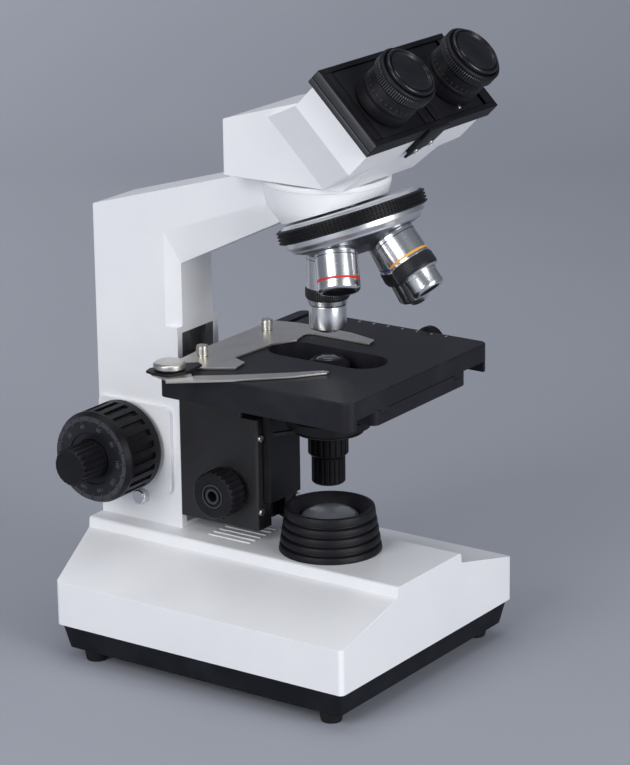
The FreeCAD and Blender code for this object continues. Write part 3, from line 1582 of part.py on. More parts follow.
pivot_cap = turned_piece(
    "pivot_cap",
    (ZERO, -S.holder_thickness),
    (S.pivot_radius, -S.holder_thickness),
    (S.pivot_radius, LEVER_TOP - HOLDER_TOP + S.slide_gap),
    (S.pivot_cap_radius - 1.2, LEVER_TOP - HOLDER_TOP + S.slide_gap),
    (S.pivot_cap_radius, LEVER_TOP - HOLDER_TOP + 1.4),
    (S.pivot_cap_radius, LEVER_TOP - HOLDER_TOP + S.pivot_cap_height),
    (S.pivot_cap_radius - 1.4, LEVER_TOP - HOLDER_TOP + S.pivot_cap_height + 1),
    (ZERO, LEVER_TOP - HOLDER_TOP + S.pivot_cap_height + 1.3),
)
place(pivot_cap, x=S.pivot_x, y=S.pivot_y, z=HOLDER_TOP)

finger = new_body("finger")
finger_root = outline(
    new_sketch(finger, "XY_Plane", FINGER_LOW),
    (dim(-9.0), dim(6.0)),
    (dim(-10.5), dim(-2.0)),
    (dim(-13.0), dim(-7.0)),
    (dim(-2.0), dim(-17.5)),
    (dim(5.0), dim(-8.5)),
    (dim(7.5), dim(-2.0)),
    (dim(7.0), dim(6.0)),
    (dim(0.0), dim(9.0)),
)
pad(finger_root, S.finger_thickness)
finger_blade = outline(
    new_sketch(finger, "XY_Plane", HOLDER_LOW),
    (dim(-13.0), dim(-7.0)),
    (dim(9.0), dim(-36.0)),
    (dim(31.0), dim(-59.0)),
    (dim(47.5), dim(-71.6)),
    (dim(51.0), dim(-71.0)),
    (dim(50.0), dim(-67.0)),
    (dim(38.0), dim(-55.0)),
    (dim(18.0), dim(-31.5)),
    (dim(3.5), dim(-12.0)),
    (dim(-4.0), dim(-7.2)),
)
pad(finger_blade, S.holder_thickness)
finger_step = outline(
    new_sketch(finger, "XY_Plane", HOLDER_LOW),
    (dim(-13.0), dim(-7.0)),
    (dim(-2.0), dim(-17.5)),
    (dim(3.5), dim(-12.0)),
    (dim(-4.0), dim(-7.2)),
)
pad(finger_step, FINGER_TOP - HOLDER_LOW)
finger_hole = circle(
    new_sketch(finger, "XY_Plane", FINGER_TOP), (ZERO, ZERO), S.pivot_radius + S.running_gap
)
pocket(finger_hole, dim(3.0))
place(finger, x=S.pivot_x, y=S.pivot_y)

lever_plate = new_body("lever_plate")
lever_plan = outline(
    new_sketch(lever_plate, "XY_Plane", FINGER_TOP),
    (dim(-11.0), dim(3.0)),
    (dim(-9.0), dim(9.5)),
    (dim(-4.0), dim(11.0)),
    (dim(14.5), dim(1.0)),
    (dim(19.5), dim(-5.5)),
    (dim(17.0), dim(-9.5)),
    (dim(1.0), dim(-10.5)),
    (dim(-9.0), dim(-5.5)),
)
pad(lever_plan, S.lever_thickness)
lever_hole = circle(
    new_sketch(lever_plate, "XY_Plane", LEVER_TOP), (ZERO, ZERO), S.pivot_radius + S.running_gap
)
pocket(lever_hole, dim(3.0))
place(lever_plate, x=S.pivot_x, y=S.pivot_y)

# Nosepiece on its tilted pin, with four objectives

NOSE_TURN = Rotation(AXIS_X, -20)
nose_pin = turned_piece(
    "nose_pin",
    (ZERO, dim(-16.0)),
    (dim(8.5), dim(-16.0)),
    (dim(8.5), dim(-12.3)),
    (S.pivot_pin_radius, dim(-12.3)),
    (S.pivot_pin_radius, S.nose_seat),
    (ZERO, S.nose_seat),
)
place(nose_pin, y=S.nose_y, z=S.nose_z, rotation=NOSE_TURN)

SLOPE = math.tan(TILT)
nosepiece = turned_piece(
    "nosepiece",
    (S.pivot_pin_radius + S.running_gap, dim(-12.0)),
    (dim(9.0), dim(-12.0)),
    (dim(9.0), -S.seat_depth - (S.seat_radius - 9) * SLOPE),
    (S.cone_outer_radius, -S.seat_depth + (S.cone_outer_radius - S.seat_radius) * SLOPE),
    (S.lower_ring_radius, S.lower_ring_low),
    (S.lower_ring_radius, -S.grip_half),
    (S.lower_ring_radius, S.grip_half - 0.4),
    (S.top_disc_radius, S.grip_half),
    (S.top_disc_radius, S.top_disc_high),
    (S.pivot_pin_radius + S.running_gap, S.top_disc_high),
)
seat_base = (ZERO, S.seat_radius, -S.seat_depth)
thread_hole = circle(new_sketch(nosepiece, "XY_Plane", turn=dim(20.0), base=seat_base), (ZERO, ZERO), S.objective_neck_radius)
around(nosepiece, pocket(thread_hole, dim(5.0), reverse=True), dim(4))
light_hole = circle(new_sketch(nosepiece, "XY_Plane", turn=dim(20.0), base=seat_base), (ZERO, ZERO), dim(7.5))
around(nosepiece, pocket(light_hole, dim(30.0), reverse=True), dim(4))
place(nosepiece, y=S.nose_y, z=S.nose_z, rotation=NOSE_TURN)

nosepiece_grip = turned_piece(
    "nosepiece_grip",
    (S.lower_ring_radius, -S.grip_half),
    (S.grip_radius - 0.8, -S.grip_half),
    (S.grip_radius, -S.grip_half + 0.8),
    (S.grip_radius, dim(-0.5)),
    (S.grip_radius - 1.2, ZERO),
    (S.grip_radius, dim(0.5)),
    (S.grip_radius, S.grip_half - 1.2),
    (S.grip_radius - 0.8, S.grip_half - 0.4),
    (S.lower_ring_radius, S.grip_half - 0.4),
)
place(nosepiece_grip, y=S.nose_y, z=S.nose_z, rotation=NOSE_TURN)


def objective(name, quarter, *corners):
    """Screw an objective into the nosepiece, quarter turns from the one over the stage."""
    body = turned_piece(
        name,
        (dim(4.6), dim(4.5)),
        (dim(4.6), corners[-1][1]),
        *reversed(corners),
        (S.barrel_radius, ZERO),
        (S.objective_neck_radius, ZERO),
        (S.objective_neck_radius, dim(4.5)),
    )
    turn = math.pi / 2 * quarter
    seat_x = -S.seat_radius * math.sin(turn)
    seat_y = S.seat_radius * math.cos(turn) * math.cos(TILT) - S.seat_depth * math.sin(TILT)
    seat_z = -S.seat_radius * math.cos(turn) * math.sin(TILT) - S.seat_depth * math.cos(TILT)
    tilt = NOSE_TURN * Rotation(AXIS_Z, 90 * quarter) * Rotation(AXIS_X, 20)
    place(body, x=seat_x, y=S.nose_y + seat_y, z=S.nose_z + seat_z, rotation=tilt)
    return body


full = S.parfocal_length
objective_100x = objective(
    "objective_100x",
    0,
    (S.barrel_radius, -full * 0.46),
    (S.barrel_radius + 0.3, -full * 0.46),
    (S.barrel_radius + 0.3, -full * 0.678),
    (S.barrel_radius - 0.4, -full * 0.685),
    (S.barrel_radius - 0.4, -full * 0.742),
    (S.barrel_radius - 1.3, -full * 0.753),
    (S.barrel_radius - 1.3, -full * 0.953),
    (dim(6.2), -full * 0.956),
    (dim(5.4), -full),
)
length = S.low_power_length
objective_4x = objective(
    "objective_4x",
    1,
    (S.barrel_radius, dim(-4.0)),
    (S.barrel_radius + 0.8, dim(-5.0)),
    (S.barrel_radius + 0.8, -length + 1.2),
    (S.barrel_radius - 0.4, -length),
    (dim(8.0), -length),
    (dim(6.0), -length + 3),
)
length = S.mid_power_length
objective_10x = objective(
    "objective_10x",
    2,
    (S.barrel_radius, -length * 0.52),
    (S.barrel_radius + 0.3, -length * 0.52),
    (S.barrel_radius + 0.3, -length * 0.76),
    (dim(10.4), -length * 0.78),
    (dim(10.4), -length + 1.5),
    (dim(8.6), -length),
    (dim(5.8), -length),
)
length = S.high_power_length
objective_40x = objective(
    "objective_40x",
    3,
    (S.barrel_radius, -length * 0.46),
    (S.barrel_radius + 0.3, -length * 0.46),
    (S.barrel_radius + 0.3, -length * 0.66),
    (dim(10.6), -length * 0.67),
    (dim(10.6), -length * 0.86),
    (dim(6.6), -length * 0.955),
    (dim(5.2), -length),
)

# Binocular head

mount_ring = turned_piece(
    "mount_ring",
    (S.mount_ring_inner, ZERO),
    (S.mount_ring_radius, ZERO),
    (S.mount_ring_radius, S.mount_ring_height),
    (S.mount_ring_radius - 0.8, S.mount_ring_height + 0.8),
    (S.mount_ring_inner, S.mount_ring_height + 0.8),
)
place(mount_ring, y=S.axis_y, z=S.arm_front_top)

HEAD_TURN = Rotation(AXIS_X, 45)
DIAGONAL = math.sqrt(0.5)
slab_base = S.flare_start + S.flare_depth
head_housing = new_body("head_housing")
head_side = outline(
    new_sketch(head_housing, "YZ_Plane"),
    (S.head_back - S.axis_y, ZERO),
    (S.head_back - S.axis_y, S.head_back_height),
    (S.head_roof_y - S.axis_y, S.head_roof_height),
    ((S.slab_high - slab_base) * DIAGONAL, (S.slab_high + slab_base) * DIAGONAL),
    ((S.slab_low - slab_base) * DIAGONAL, (S.slab_low + slab_base) * DIAGONAL),
    (S.slab_low - 8, ZERO),
)
pad(head_side, S.head_half * 2, both_ways=True)
flare_low = new_sketch(head_housing, "XY_Plane", turn=dim(45.0), base=(ZERO, -S.flare_start * DIAGONAL, S.flare_start * DIAGONAL))
rectangle(flare_low, -S.head_half, S.head_half, -S.flare_start, S.head_roof_height - 4)
flare_high = new_sketch(head_housing, "XY_Plane", turn=dim(45.0), base=(ZERO, -slab_base * DIAGONAL, slab_base * DIAGONAL))
rectangle(flare_high, -S.slab_half, S.slab_half, S.slab_low, S.slab_high)
loft(flare_low, flare_high)
slab = new_sketch(head_housing, "XY_Plane", turn=dim(45.0), base=(ZERO, -slab_base * DIAGONAL, slab_base * DIAGONAL))
rectangle(slab, -S.slab_half, S.slab_half, S.slab_low, S.slab_high)
pad(slab, S.slab_depth)
dovetail = circle(new_sketch(head_housing, "XY_Plane"), (ZERO, ZERO), S.mount_ring_inner - S.running_gap)
pad(dovetail, S.head_bottom - S.arm_front_top - S.body_gap, reverse=True)
face_base = slab_base + S.slab_depth
face = new_sketch(head_housing, "XY_Plane", turn=dim(45.0), base=(ZERO, -face_base * DIAGONAL, face_base * DIAGONAL))
rectangle(face, -S.slab_half + 7, S.slab_half - 7, S.slab_low + 8, S.slab_high - 10)
pocket(face, S.slab_depth - 2)
throat = new_sketch(head_housing, "XY_Plane", turn=dim(45.0), base=(ZERO, -face_base * DIAGONAL, face_base * DIAGONAL))
rectangle(throat, -S.head_half + 8, S.head_half - 8, S.slab_low + 10, S.slab_high - 12)
pocket(throat, S.slab_depth + 20)
head_bore = circle(new_sketch(head_housing, "XY_Plane", dim(-6.0)), (ZERO, ZERO), dim(13.0))
pocket(head_bore, dim(30.0), reverse=True)
place(head_housing, y=S.axis_y, z=S.head_bottom)

frame_origin = face_base


def on_head(piece, height):
    """Place a piece in the axes of the tilted head face, height above the working point along the tubes."""
    place(piece, y=S.axis_y - height * DIAGONAL, z=S.head_bottom + height * DIAGONAL, rotation=HEAD_TURN)


slide_frame = new_body("slide_frame")
frame_plan = rectangle(
    new_sketch(slide_frame, "XY_Plane"), -S.frame_half, S.frame_half, S.frame_low, S.frame_high
)
pad(frame_plan, S.frame_depth)
SLOT_LOW = S.frame_low + S.frame_rail
SLOT_HIGH = S.frame_high - S.frame_rail
frame_slot = outline(
    new_sketch(slide_frame, "YZ_Plane", -S.frame_half + S.frame_end),
    (SLOT_LOW - 1.4, S.frame_floor),
    (SLOT_HIGH + 1.4, S.frame_floor),
    (SLOT_HIGH, S.frame_depth + 0.1),
    (SLOT_LOW, S.frame_depth + 0.1),
)
pocket(frame_slot, (S.frame_half - S.frame_end) * 2, reverse=True)
for side in (-1, 1):
    window = rectangle(
        new_sketch(slide_frame, "XY_Plane", S.frame_floor),
        S.tube_spacing / 2 * side - 14,
        S.tube_spacing / 2 * side + 14,
        S.slab_low + 10,
        S.slab_high - 12,
    )
    pocket(window, S.frame_floor + 1)
on_head(slide_frame, frame_origin)

TUBE_Y = (SLOT_LOW + SLOT_HIGH) / 2 - 3.2
PLATE_TOP = S.frame_floor + S.slide_gap + S.plate_thickness
SKIRT_LOW = S.frame_depth + S.body_gap
TUBE_TOP = SKIRT_LOW + S.scale_base_height + S.scale_ring_height + S.collar_height - 1 + S.body_gap * 2
for name, side in (("left", -1), ("right", 1)):
    tube = new_body(f"eyetube_{name}")
    plate = outline(
        new_sketch(tube, "YZ_Plane", S.plate_inner * side),
        (SLOT_LOW - 1.4 + S.slide_gap, S.frame_floor + S.slide_gap),
        (SLOT_HIGH + 1.4 - S.slide_gap, S.frame_floor + S.slide_gap),
        (SLOT_HIGH - S.slide_gap * 0.2, PLATE_TOP),
        (SLOT_LOW + S.slide_gap * 0.2, PLATE_TOP),
    )
    pad(plate, S.plate_outer - S.plate_inner, reverse=side < 0)
    middle = (S.tube_spacing / 2 * side, TUBE_Y)
    pipe = circle(new_sketch(tube, "XY_Plane", PLATE_TOP), middle, S.tube_radius)
    pad(pipe, TUBE_TOP - PLATE_TOP)
    skirt = circle(new_sketch(tube, "XY_Plane", SKIRT_LOW), middle, S.scale_base_radius)
    pad(skirt, S.scale_base_height)
    tube_bore = circle(new_sketch(tube, "XY_Plane"), middle, S.tube_bore_radius)
    pocket(tube_bore, TUBE_TOP + 1, reverse=True)
    on_head(tube, frame_origin)

    ring_low = SKIRT_LOW + S.scale_base_height + S.body_gap
    ring = turned_piece(
        f"dioptre_ring_{name}",
        (S.tube_radius + S.running_gap, ZERO),
        (S.scale_ring_radius + 0.9, ZERO),
        (S.scale_ring_radius + 0.9, dim(2.2)),
        (S.scale_ring_radius, dim(2.6)),
        (S.scale_ring_radius, S.scale_ring_height),
        (S.tube_radius + S.running_gap, S.scale_ring_height),
    )
    collar_low = ring_low + S.scale_ring_height + S.body_gap
    collar = turned_piece(
        f"eyetube_collar_{name}",
        (S.tube_radius, ZERO),
        (S.collar_radius - 0.8, ZERO),
        (S.collar_radius, dim(0.8)),
        (S.collar_radius, S.collar_height - 1),
        (S.collar_radius - 1, S.collar_height),
        (S.cap_radius + 0.6, S.collar_height),
        (S.cap_radius, S.collar_height - 1),
        (S.tube_radius, S.collar_height - 1),
    )
    cap_low = collar_low + S.collar_height - 1
    cap = turned_piece(
        f"dust_cap_{name}",
        (ZERO, -S.cap_plug_length),
        (S.tube_bore_radius - 0.1, -S.cap_plug_length),
        (S.tube_bore_radius - 0.1, ZERO),
        (S.cap_radius - 0.1, ZERO),
        (S.cap_radius - 0.1, S.cap_height),
        (S.cap_radius - 1, S.cap_height + 0.8),
        (S.cap_radius - 3, S.cap_height + 0.8),
        (S.cap_radius - 3.6, S.cap_height + 0.3),
        (ZERO, S.cap_height + 0.3),
    )
    for piece, height in ((ring, ring_low), (collar, collar_low), (cap, cap_low)):
        tilted = frame_origin + height
        place(
            piece,
            x=S.tube_spacing / 2 * side,
            y=S.axis_y + (TUBE_Y - tilted) * DIAGONAL,
            z=S.head_bottom + (TUBE_Y + tilted) * DIAGONAL,
            rotation=HEAD_TURN,
        )

# Centre the floor area on the origin, then check and write every piece

doc.recompute()
boxes = [piece.Shape.BoundBox for piece in pieces]
middle_x = (min(box.XMin for box in boxes) + max(box.XMax for box in boxes)) / 2
middle_y = (min(box.YMin for box in boxes) + max(box.YMax for box in boxes)) / 2
sheet.set("B1", f"{-middle_x:.4f}")
sheet.set("B2", f"{-middle_y:.4f}")
doc.recompute()
print("shift", round(-middle_x, 4), round(-middle_y, 4))
for item in doc.Objects:
    if "Invalid" in item.State or "Error" in item.State:
        raise RuntimeError(f"{item.Label} did not build: {item.State}")
os.makedirs("parts", exist_ok=True)
for piece in pieces:
    if piece.Shape.isNull() or not piece.Shape.isValid():
        raise RuntimeError(f"{piece.Label} has no valid shape")
    piece.Shape.exportStep(f"parts/{piece.Label}.step")
print(len(pieces), "pieces")
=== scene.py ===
"""Binocular bench microscope: finishes, fine detail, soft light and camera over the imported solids.

Lengths that describe the instrument are in millimetres from the column's middle plane (X), the optical axis
at Y -40 and the bench top (Z), as in the part's own source, and become metres when a mesh is placed.
"""

import json
import logging
import math
from dataclasses import dataclass, field
from enum import Enum
from types import MappingProxyType
from typing import Mapping, Sequence, Union

import bmesh
import bpy
from mathutils import Matrix, Vector

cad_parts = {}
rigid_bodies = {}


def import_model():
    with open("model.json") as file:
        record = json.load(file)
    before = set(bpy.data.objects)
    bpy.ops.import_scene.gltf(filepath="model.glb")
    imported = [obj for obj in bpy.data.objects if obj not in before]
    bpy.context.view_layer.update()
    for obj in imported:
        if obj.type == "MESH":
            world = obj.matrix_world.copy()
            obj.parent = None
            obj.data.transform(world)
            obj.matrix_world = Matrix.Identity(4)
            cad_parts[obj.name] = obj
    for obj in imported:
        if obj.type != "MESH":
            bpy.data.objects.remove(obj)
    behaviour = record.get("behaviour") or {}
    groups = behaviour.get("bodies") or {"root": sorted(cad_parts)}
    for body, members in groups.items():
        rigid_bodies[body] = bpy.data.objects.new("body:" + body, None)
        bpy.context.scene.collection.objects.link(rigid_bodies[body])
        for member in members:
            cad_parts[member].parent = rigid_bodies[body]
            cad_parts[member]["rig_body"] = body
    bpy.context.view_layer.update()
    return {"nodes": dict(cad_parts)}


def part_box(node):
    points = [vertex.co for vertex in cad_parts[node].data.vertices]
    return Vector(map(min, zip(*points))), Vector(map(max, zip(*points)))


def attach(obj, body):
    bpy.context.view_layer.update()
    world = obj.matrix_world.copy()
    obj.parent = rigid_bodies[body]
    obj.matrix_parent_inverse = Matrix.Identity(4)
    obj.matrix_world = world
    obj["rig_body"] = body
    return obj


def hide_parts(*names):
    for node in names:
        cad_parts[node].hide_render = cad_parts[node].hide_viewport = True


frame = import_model()

LOG = logging.getLogger("microscope")
MM = 0.001
COLUMN_LOW, COLUMN_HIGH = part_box("arm")
MIDDLE_X = (COLUMN_LOW.x + COLUMN_HIGH.x) / 2
COLUMN_BACK = 109.0
BACK_SHIFT = COLUMN_HIGH.y - COLUMN_BACK * MM
SLANT = math.sqrt(0.5)
TINY = 1e-6
NEARLY_FLAT = math.radians(160)

Point = tuple[float, float, float]
Span = tuple[float, float]
Material = bpy.types.Material
Values = Mapping[object, object]
EMPTY: Values = MappingProxyType({})
Corner = tuple[float, float, int]
Outline = Sequence[Corner]


def at(x: float, y: float, z: float) -> Vector:
    """A point of the instrument's millimetre layout, in the frame's metres."""
    return Vector((MIDDLE_X + x * MM, BACK_SHIFT + y * MM, z * MM))


class Tone(Enum):
    """The paint and plastic colours of the instrument, as linear red, green and blue."""

    ENAMEL = (0.84, 0.845, 0.87)
    COAL = (0.006, 0.006, 0.008)
    TRAY = (0.009, 0.010, 0.014)
    GRAPHITE = (0.012, 0.012, 0.016)
    RUBBER = (0.006, 0.006, 0.007)
    NICKEL = (0.62, 0.60, 0.56)
    CHROME = (0.78, 0.79, 0.80)
    STEEL = (0.50, 0.50, 0.50)
    BRASS = (0.72, 0.52, 0.22)
    RED = (0.62, 0.015, 0.020)
    YELLOW = (0.85, 0.40, 0.03)
    BLUE = (0.02, 0.12, 0.45)
    CHALK = (0.62, 0.63, 0.65)
    GLASS = (0.86, 0.90, 0.92)
    GUNMETAL = (0.30, 0.31, 0.34)
    ASH = (0.085, 0.088, 0.10)
    # Lighter grey for ribs, knurls, rings and strips: a painted highlight on black parts.
    SLATE = (0.030, 0.031, 0.036)
    # Pale grey of the collector lens: a painted reflection.
    FROST = (0.16, 0.165, 0.19)


# ---------------------------------------------------------------- node and object tools


class Graph:
    """A node tree and the one way in which nodes and values come into it."""

    def __init__(self, tree: bpy.types.NodeTree) -> None:
        """Takes the tree to work on."""
        self.tree = tree

    def wire(self, socket: bpy.types.NodeSocket, value: object) -> None:
        """Gives an input socket its value or link.

        Args:
            socket: the input socket.
            value: a number, colour or material, or the socket or Signal to link.
        """
        if isinstance(value, Signal):
            value = value.socket
        if isinstance(value, bpy.types.NodeSocket):
            self.tree.links.new(value, socket)
        elif socket.type == "RGBA" and len(value) == 3:
            socket.default_value = (*value, 1.0)
        else:
            socket.default_value = value

    def add(self, kind: str, inputs: Values = EMPTY, **settings: str) -> bpy.types.Node:
        """Adds a node.

        Args:
            kind: the node's type.
            inputs: values, sockets or Signals for its input sockets, by name or number.
            settings: its properties, which are set first.

        Returns:
            The node.
        """
        node = self.tree.nodes.new(kind)
        for name, value in settings.items():
            setattr(node, name, value)
        for key, value in inputs.items():
            self.wire(node.inputs[key], value)
        return node


def placed(name: str, data: bpy.types.ID) -> bpy.types.Object:
    """Puts a new object into the scene.

    Args:
        name: the object's name.
        data: the mesh, curve, lamp or camera that it shows.

    Returns:
        The object.
    """
    thing = bpy.data.objects.new(name, data)
    bpy.context.scene.collection.objects.link(thing)
    return thing


def baked(thing: bpy.types.Object) -> bpy.types.Mesh:
    """Takes the mesh that an object's modifiers or letters come to, and removes the object.

    Args:
        thing: the object.

    Returns:
        The mesh.
    """
    view = bpy.context.evaluated_depsgraph_get()
    mesh = bpy.data.meshes.new_from_object(thing.evaluated_get(view), depsgraph=view)
    thing.modifiers.clear()
    bpy.data.objects.remove(thing)
    return mesh


class Signal:
    """A shader socket that takes part in plain arithmetic and adds the Math nodes that it needs."""

    def __init__(self, recipe: "Recipe", socket: bpy.types.NodeSocket) -> None:
        """Wraps one output socket of a recipe's tree."""
        self.recipe = recipe
        self.socket = socket

    def _sum(self, operation: str, first: object, second: object) -> "Signal":
        """Adds one Math node.

        Args:
            operation: the Math node's operation.
            first: a Signal or a number.
            second: a Signal or a number.

        Returns:
            The node's output as a Signal.
        """
        node = self.recipe.add("ShaderNodeMath", {0: first, 1: second}, operation=operation)
        return Signal(self.recipe, node.outputs[0])

    def __add__(self, other: object) -> "Signal":
        """Sum of two signals."""
        return self._sum("ADD", self, other)

    __radd__ = __add__

    def __mul__(self, other: object) -> "Signal":
        """Product of two signals."""
        return self._sum("MULTIPLY", self, other)

    __rmul__ = __mul__

    def power(self, exponent: float) -> "Signal":
        """This signal raised to a power."""
        return self._sum("POWER", self, exponent)


class Recipe(Graph):
    """One material's tree: a principled shader joined to the output, and the tools to feed it."""

    def __init__(self, name: str) -> None:
        """Starts a material.

        Args:
            name: the material's name.
        """
        self.material = bpy.data.materials.new(name)
        self.material.use_nodes = True
        super().__init__(self.material.node_tree)
        self.tree.nodes.clear()
        self.shader = self.add("ShaderNodeBsdfPrincipled")
        self.add("ShaderNodeOutputMaterial", {"Surface": self.shader.outputs["BSDF"]})
        self.coordinates = self.add("ShaderNodeTexCoord").outputs["Object"]

    def mapped(self, **settings: Point) -> bpy.types.NodeSocket:
        """Object coordinates moved, turned and scaled.

        Args:
            settings: Location in metres, Rotation in radians and Scale, each along or about the three axes.

        Returns:
            A vector socket.
        """
        node = self.add("ShaderNodeMapping", {"Vector": self.coordinates, **settings})
        return node.outputs["Vector"]

    def noise(
        self, grain: float, detail: float = 2.0, vector: Union[bpy.types.NodeSocket, None] = None
    ) -> Signal:
        """Soft noise.

        Args:
            grain: size of one blotch in millimetres.
            detail: octaves.
            vector: coordinates to read, or None for the object's own.

        Returns:
            Values about 0.5.
        """
        inputs = {"Vector": vector or self.coordinates, "Scale": 1 / (grain * MM), "Detail": detail}
        return Signal(self, self.add("ShaderNodeTexNoise", inputs, noise_dimensions="3D").outputs[0])

    def cells(self, grain: float) -> Signal:
        """Distance to the nearest of scattered points, in cells of a size in millimetres."""
        inputs = {"Vector": self.coordinates, "Scale": 1 / (grain * MM)}
        return Signal(self, self.add("ShaderNodeTexVoronoi", inputs, feature="F1").outputs["Distance"])

    def ramp(self, value: Signal, *stops: Span) -> Signal:
        """Leads a value through a grey ramp.

        Args:
            value: the value.
            stops: the ramp's two stops, each its place and grey.

        Returns:
            The ramp's grey.
        """
        node = self.add("ShaderNodeValToRGB", {"Fac": value})
        for element, (place, grey) in zip(node.color_ramp.elements, stops):
            element.position = place
            element.color = (grey, grey, grey, 1.0)
        return Signal(self, node.outputs["Color"])

    def mix(self, share: object, first: object, second: object) -> bpy.types.NodeSocket:
        """A colour between two others by a share from 0 to 1."""
        node = self.add("ShaderNodeMix", {0: share, 6: first, 7: second}, data_type="RGBA")
        return node.outputs[2]

    def parts(self, vector: bpy.types.NodeSocket) -> tuple[Signal, Signal, Signal]:
        """The three numbers of a vector."""
        node = self.add("ShaderNodeSeparateXYZ", {0: vector})
        return tuple(Signal(self, socket) for socket in node.outputs)

    def relief(self, height: Signal, depth: float, strength: float = 1.0) -> None:
        """Feeds the shader's normal from a height.

        Args:
            height: values from 0 to 1.
            depth: millimetres that a value of 1 stands for.
            strength: share of the effect.
        """
        inputs = {"Height": height, "Distance": depth * MM, "Strength": strength}
        self.feed("Normal", self.add("ShaderNodeBump", inputs).outputs["Normal"])

    def feed(self, name: str, value: object) -> None:
        """Sets or links one of the shader's sockets."""
        self.wire(self.shader.inputs[name], value)


# ---------------------------------------------------------------- finishes


@dataclass(frozen=True)
class Enamel:
    """Stoved white paint with a faint orange peel."""

    name: str = "white_enamel"
    colour: Tone = Tone.ENAMEL
    peel: float = 1.6
    depth: float = 0.010
    gloss: float = 0.30

    def make(self) -> Material:
        """Builds the paint's material.

        Returns:
            The material.
        """
        paint = Recipe(self.name)
        cloud = paint.noise(38.0, 3.0)
        red, green, blue = self.colour.value
        dusty = (red * 0.955, green * 0.96, blue * 0.97)
        dust = paint.ramp(cloud, (0.35, 0.0), (0.75, 1.0))
        paint.feed("Base Color", paint.mix(dust, self.colour.value, dusty))
        paint.feed("Roughness", self.gloss + 0.10 * paint.noise(9.0))
        paint.feed("Coat Weight", 0.15)
        paint.feed("Coat Roughness", 0.18)
        paint.relief(paint.noise(self.peel, 1.0) + 0.4 * paint.noise(self.peel * 0.35, 1.0), self.depth)
        return paint.material


@dataclass(frozen=True)
class Moulding:
    """Moulded black plastic or rubber with a fine spark-eroded grain."""

    name: str
    colour: Tone = Tone.COAL
    grain: float = 0.35
    depth: float = 0.012
    gloss: float = 0.42
    shine: float = 0.22

    def make(self) -> Material:
        """Builds the plastic's material.

        Returns:
            The material.
        """
        plastic = Recipe(self.name)
        pale = tuple(part * 1.7 + 0.002 for part in self.colour.value)
        rub = plastic.ramp(plastic.noise(16.0, 4.0), (0.42, 0.0), (0.80, 1.0))
        plastic.feed("Base Color", plastic.mix(rub, self.colour.value, pale))
        plastic.feed("Roughness", self.gloss + 0.14 * plastic.noise(4.0, 3.0))
        plastic.feed("Specular IOR Level", self.shine)
        plastic.relief(plastic.noise(self.grain, 2.0), self.depth)
        return plastic.material


@dataclass(frozen=True)
class Crinkle:
    """Baked crinkle finish on the castings below the stage."""

    name: str = "crinkle_black"
    colour: Tone = Tone.COAL
    wrinkle: float = 0.9
    depth: float = 0.16

    def make(self) -> Material:
        """Builds the crinkle finish.

        Returns:
            The material.
        """
        paint = Recipe(self.name)
        folds = paint.cells(self.wrinkle)
        fine = paint.noise(self.wrinkle * 0.45, 3.0)
        pale = tuple(part * 2.4 + 0.004 for part in self.colour.value)
        worn = paint.ramp(fine, (0.55, 0.0), (0.72, 1.0))
        paint.feed("Base Color", paint.mix(worn, self.colour.value, pale))
        paint.feed("Roughness", 0.40 + 0.25 * fine)
        paint.relief(folds * 0.6 + fine * 0.7, self.depth, 0.85)
        return paint.material


@dataclass(frozen=True)
class Satin:
    """Fine satin black on machined alloy, with a slightly polished wear along it."""

    name: str
    colour: Tone = Tone.GRAPHITE
    gloss: float = 0.40
    shine: float = 0.2

    def make(self) -> Material:
        """Builds the satin finish.

        Returns:
            The material.
        """
        satin = Recipe(self.name)
        fine = satin.noise(0.22, 2.0)
        wear = satin.ramp(satin.noise(24.0, 5.0), (0.48, 0.0), (0.85, 1.0))
        pale = tuple(part * 1.8 + 0.003 for part in self.colour.value)
        satin.feed("Base Color", satin.mix(wear, self.colour.value, pale))
        satin.feed("Metallic", 0.02 + 0.08 * wear)
        satin.feed("Specular IOR Level", self.shine)
        satin.feed("Roughness", self.gloss + 0.10 * fine + 0.08 * wear)
        satin.relief(fine, 0.008)
        return satin.material


@dataclass(frozen=True)
class Turned:
    """Metal turned about an axis, with fine tool lines round it."""

    name: str
    axes: Matrix
    colour: Tone = Tone.CHROME
    gloss: float = 0.10
    pitch: float = 0.5
    lines: float = 0.004

    def make(self) -> Material:
        """Builds the metal, its lines spaced along and across the axis.

        Returns:
            The material.
        """
        metal = Recipe(self.name)
        inverse = self.axes.inverted()
        own = metal.mapped(Location=tuple(inverse.to_translation()), Rotation=tuple(inverse.to_euler()))
        across, along, height = metal.parts(own)
        reach = (across * across + along * along).power(0.5)
        place = metal.add("ShaderNodeCombineXYZ", {0: height, 1: reach, 2: 0.0}).outputs[0]
        lines = metal.noise(self.pitch, 3.0, place)
        stain = metal.ramp(metal.noise(7.0, 4.0), (0.45, 0.0), (0.8, 1.0))
        red, green, blue = self.colour.value
        metal.feed("Base Color", metal.mix(stain, self.colour.value, (red * 0.90, green * 0.90, blue * 0.92)))
        metal.feed("Metallic", 1.0)
        metal.feed("Roughness", self.gloss + 0.12 * lines + 0.05 * stain)
        metal.relief(lines, self.lines)
        return metal.material


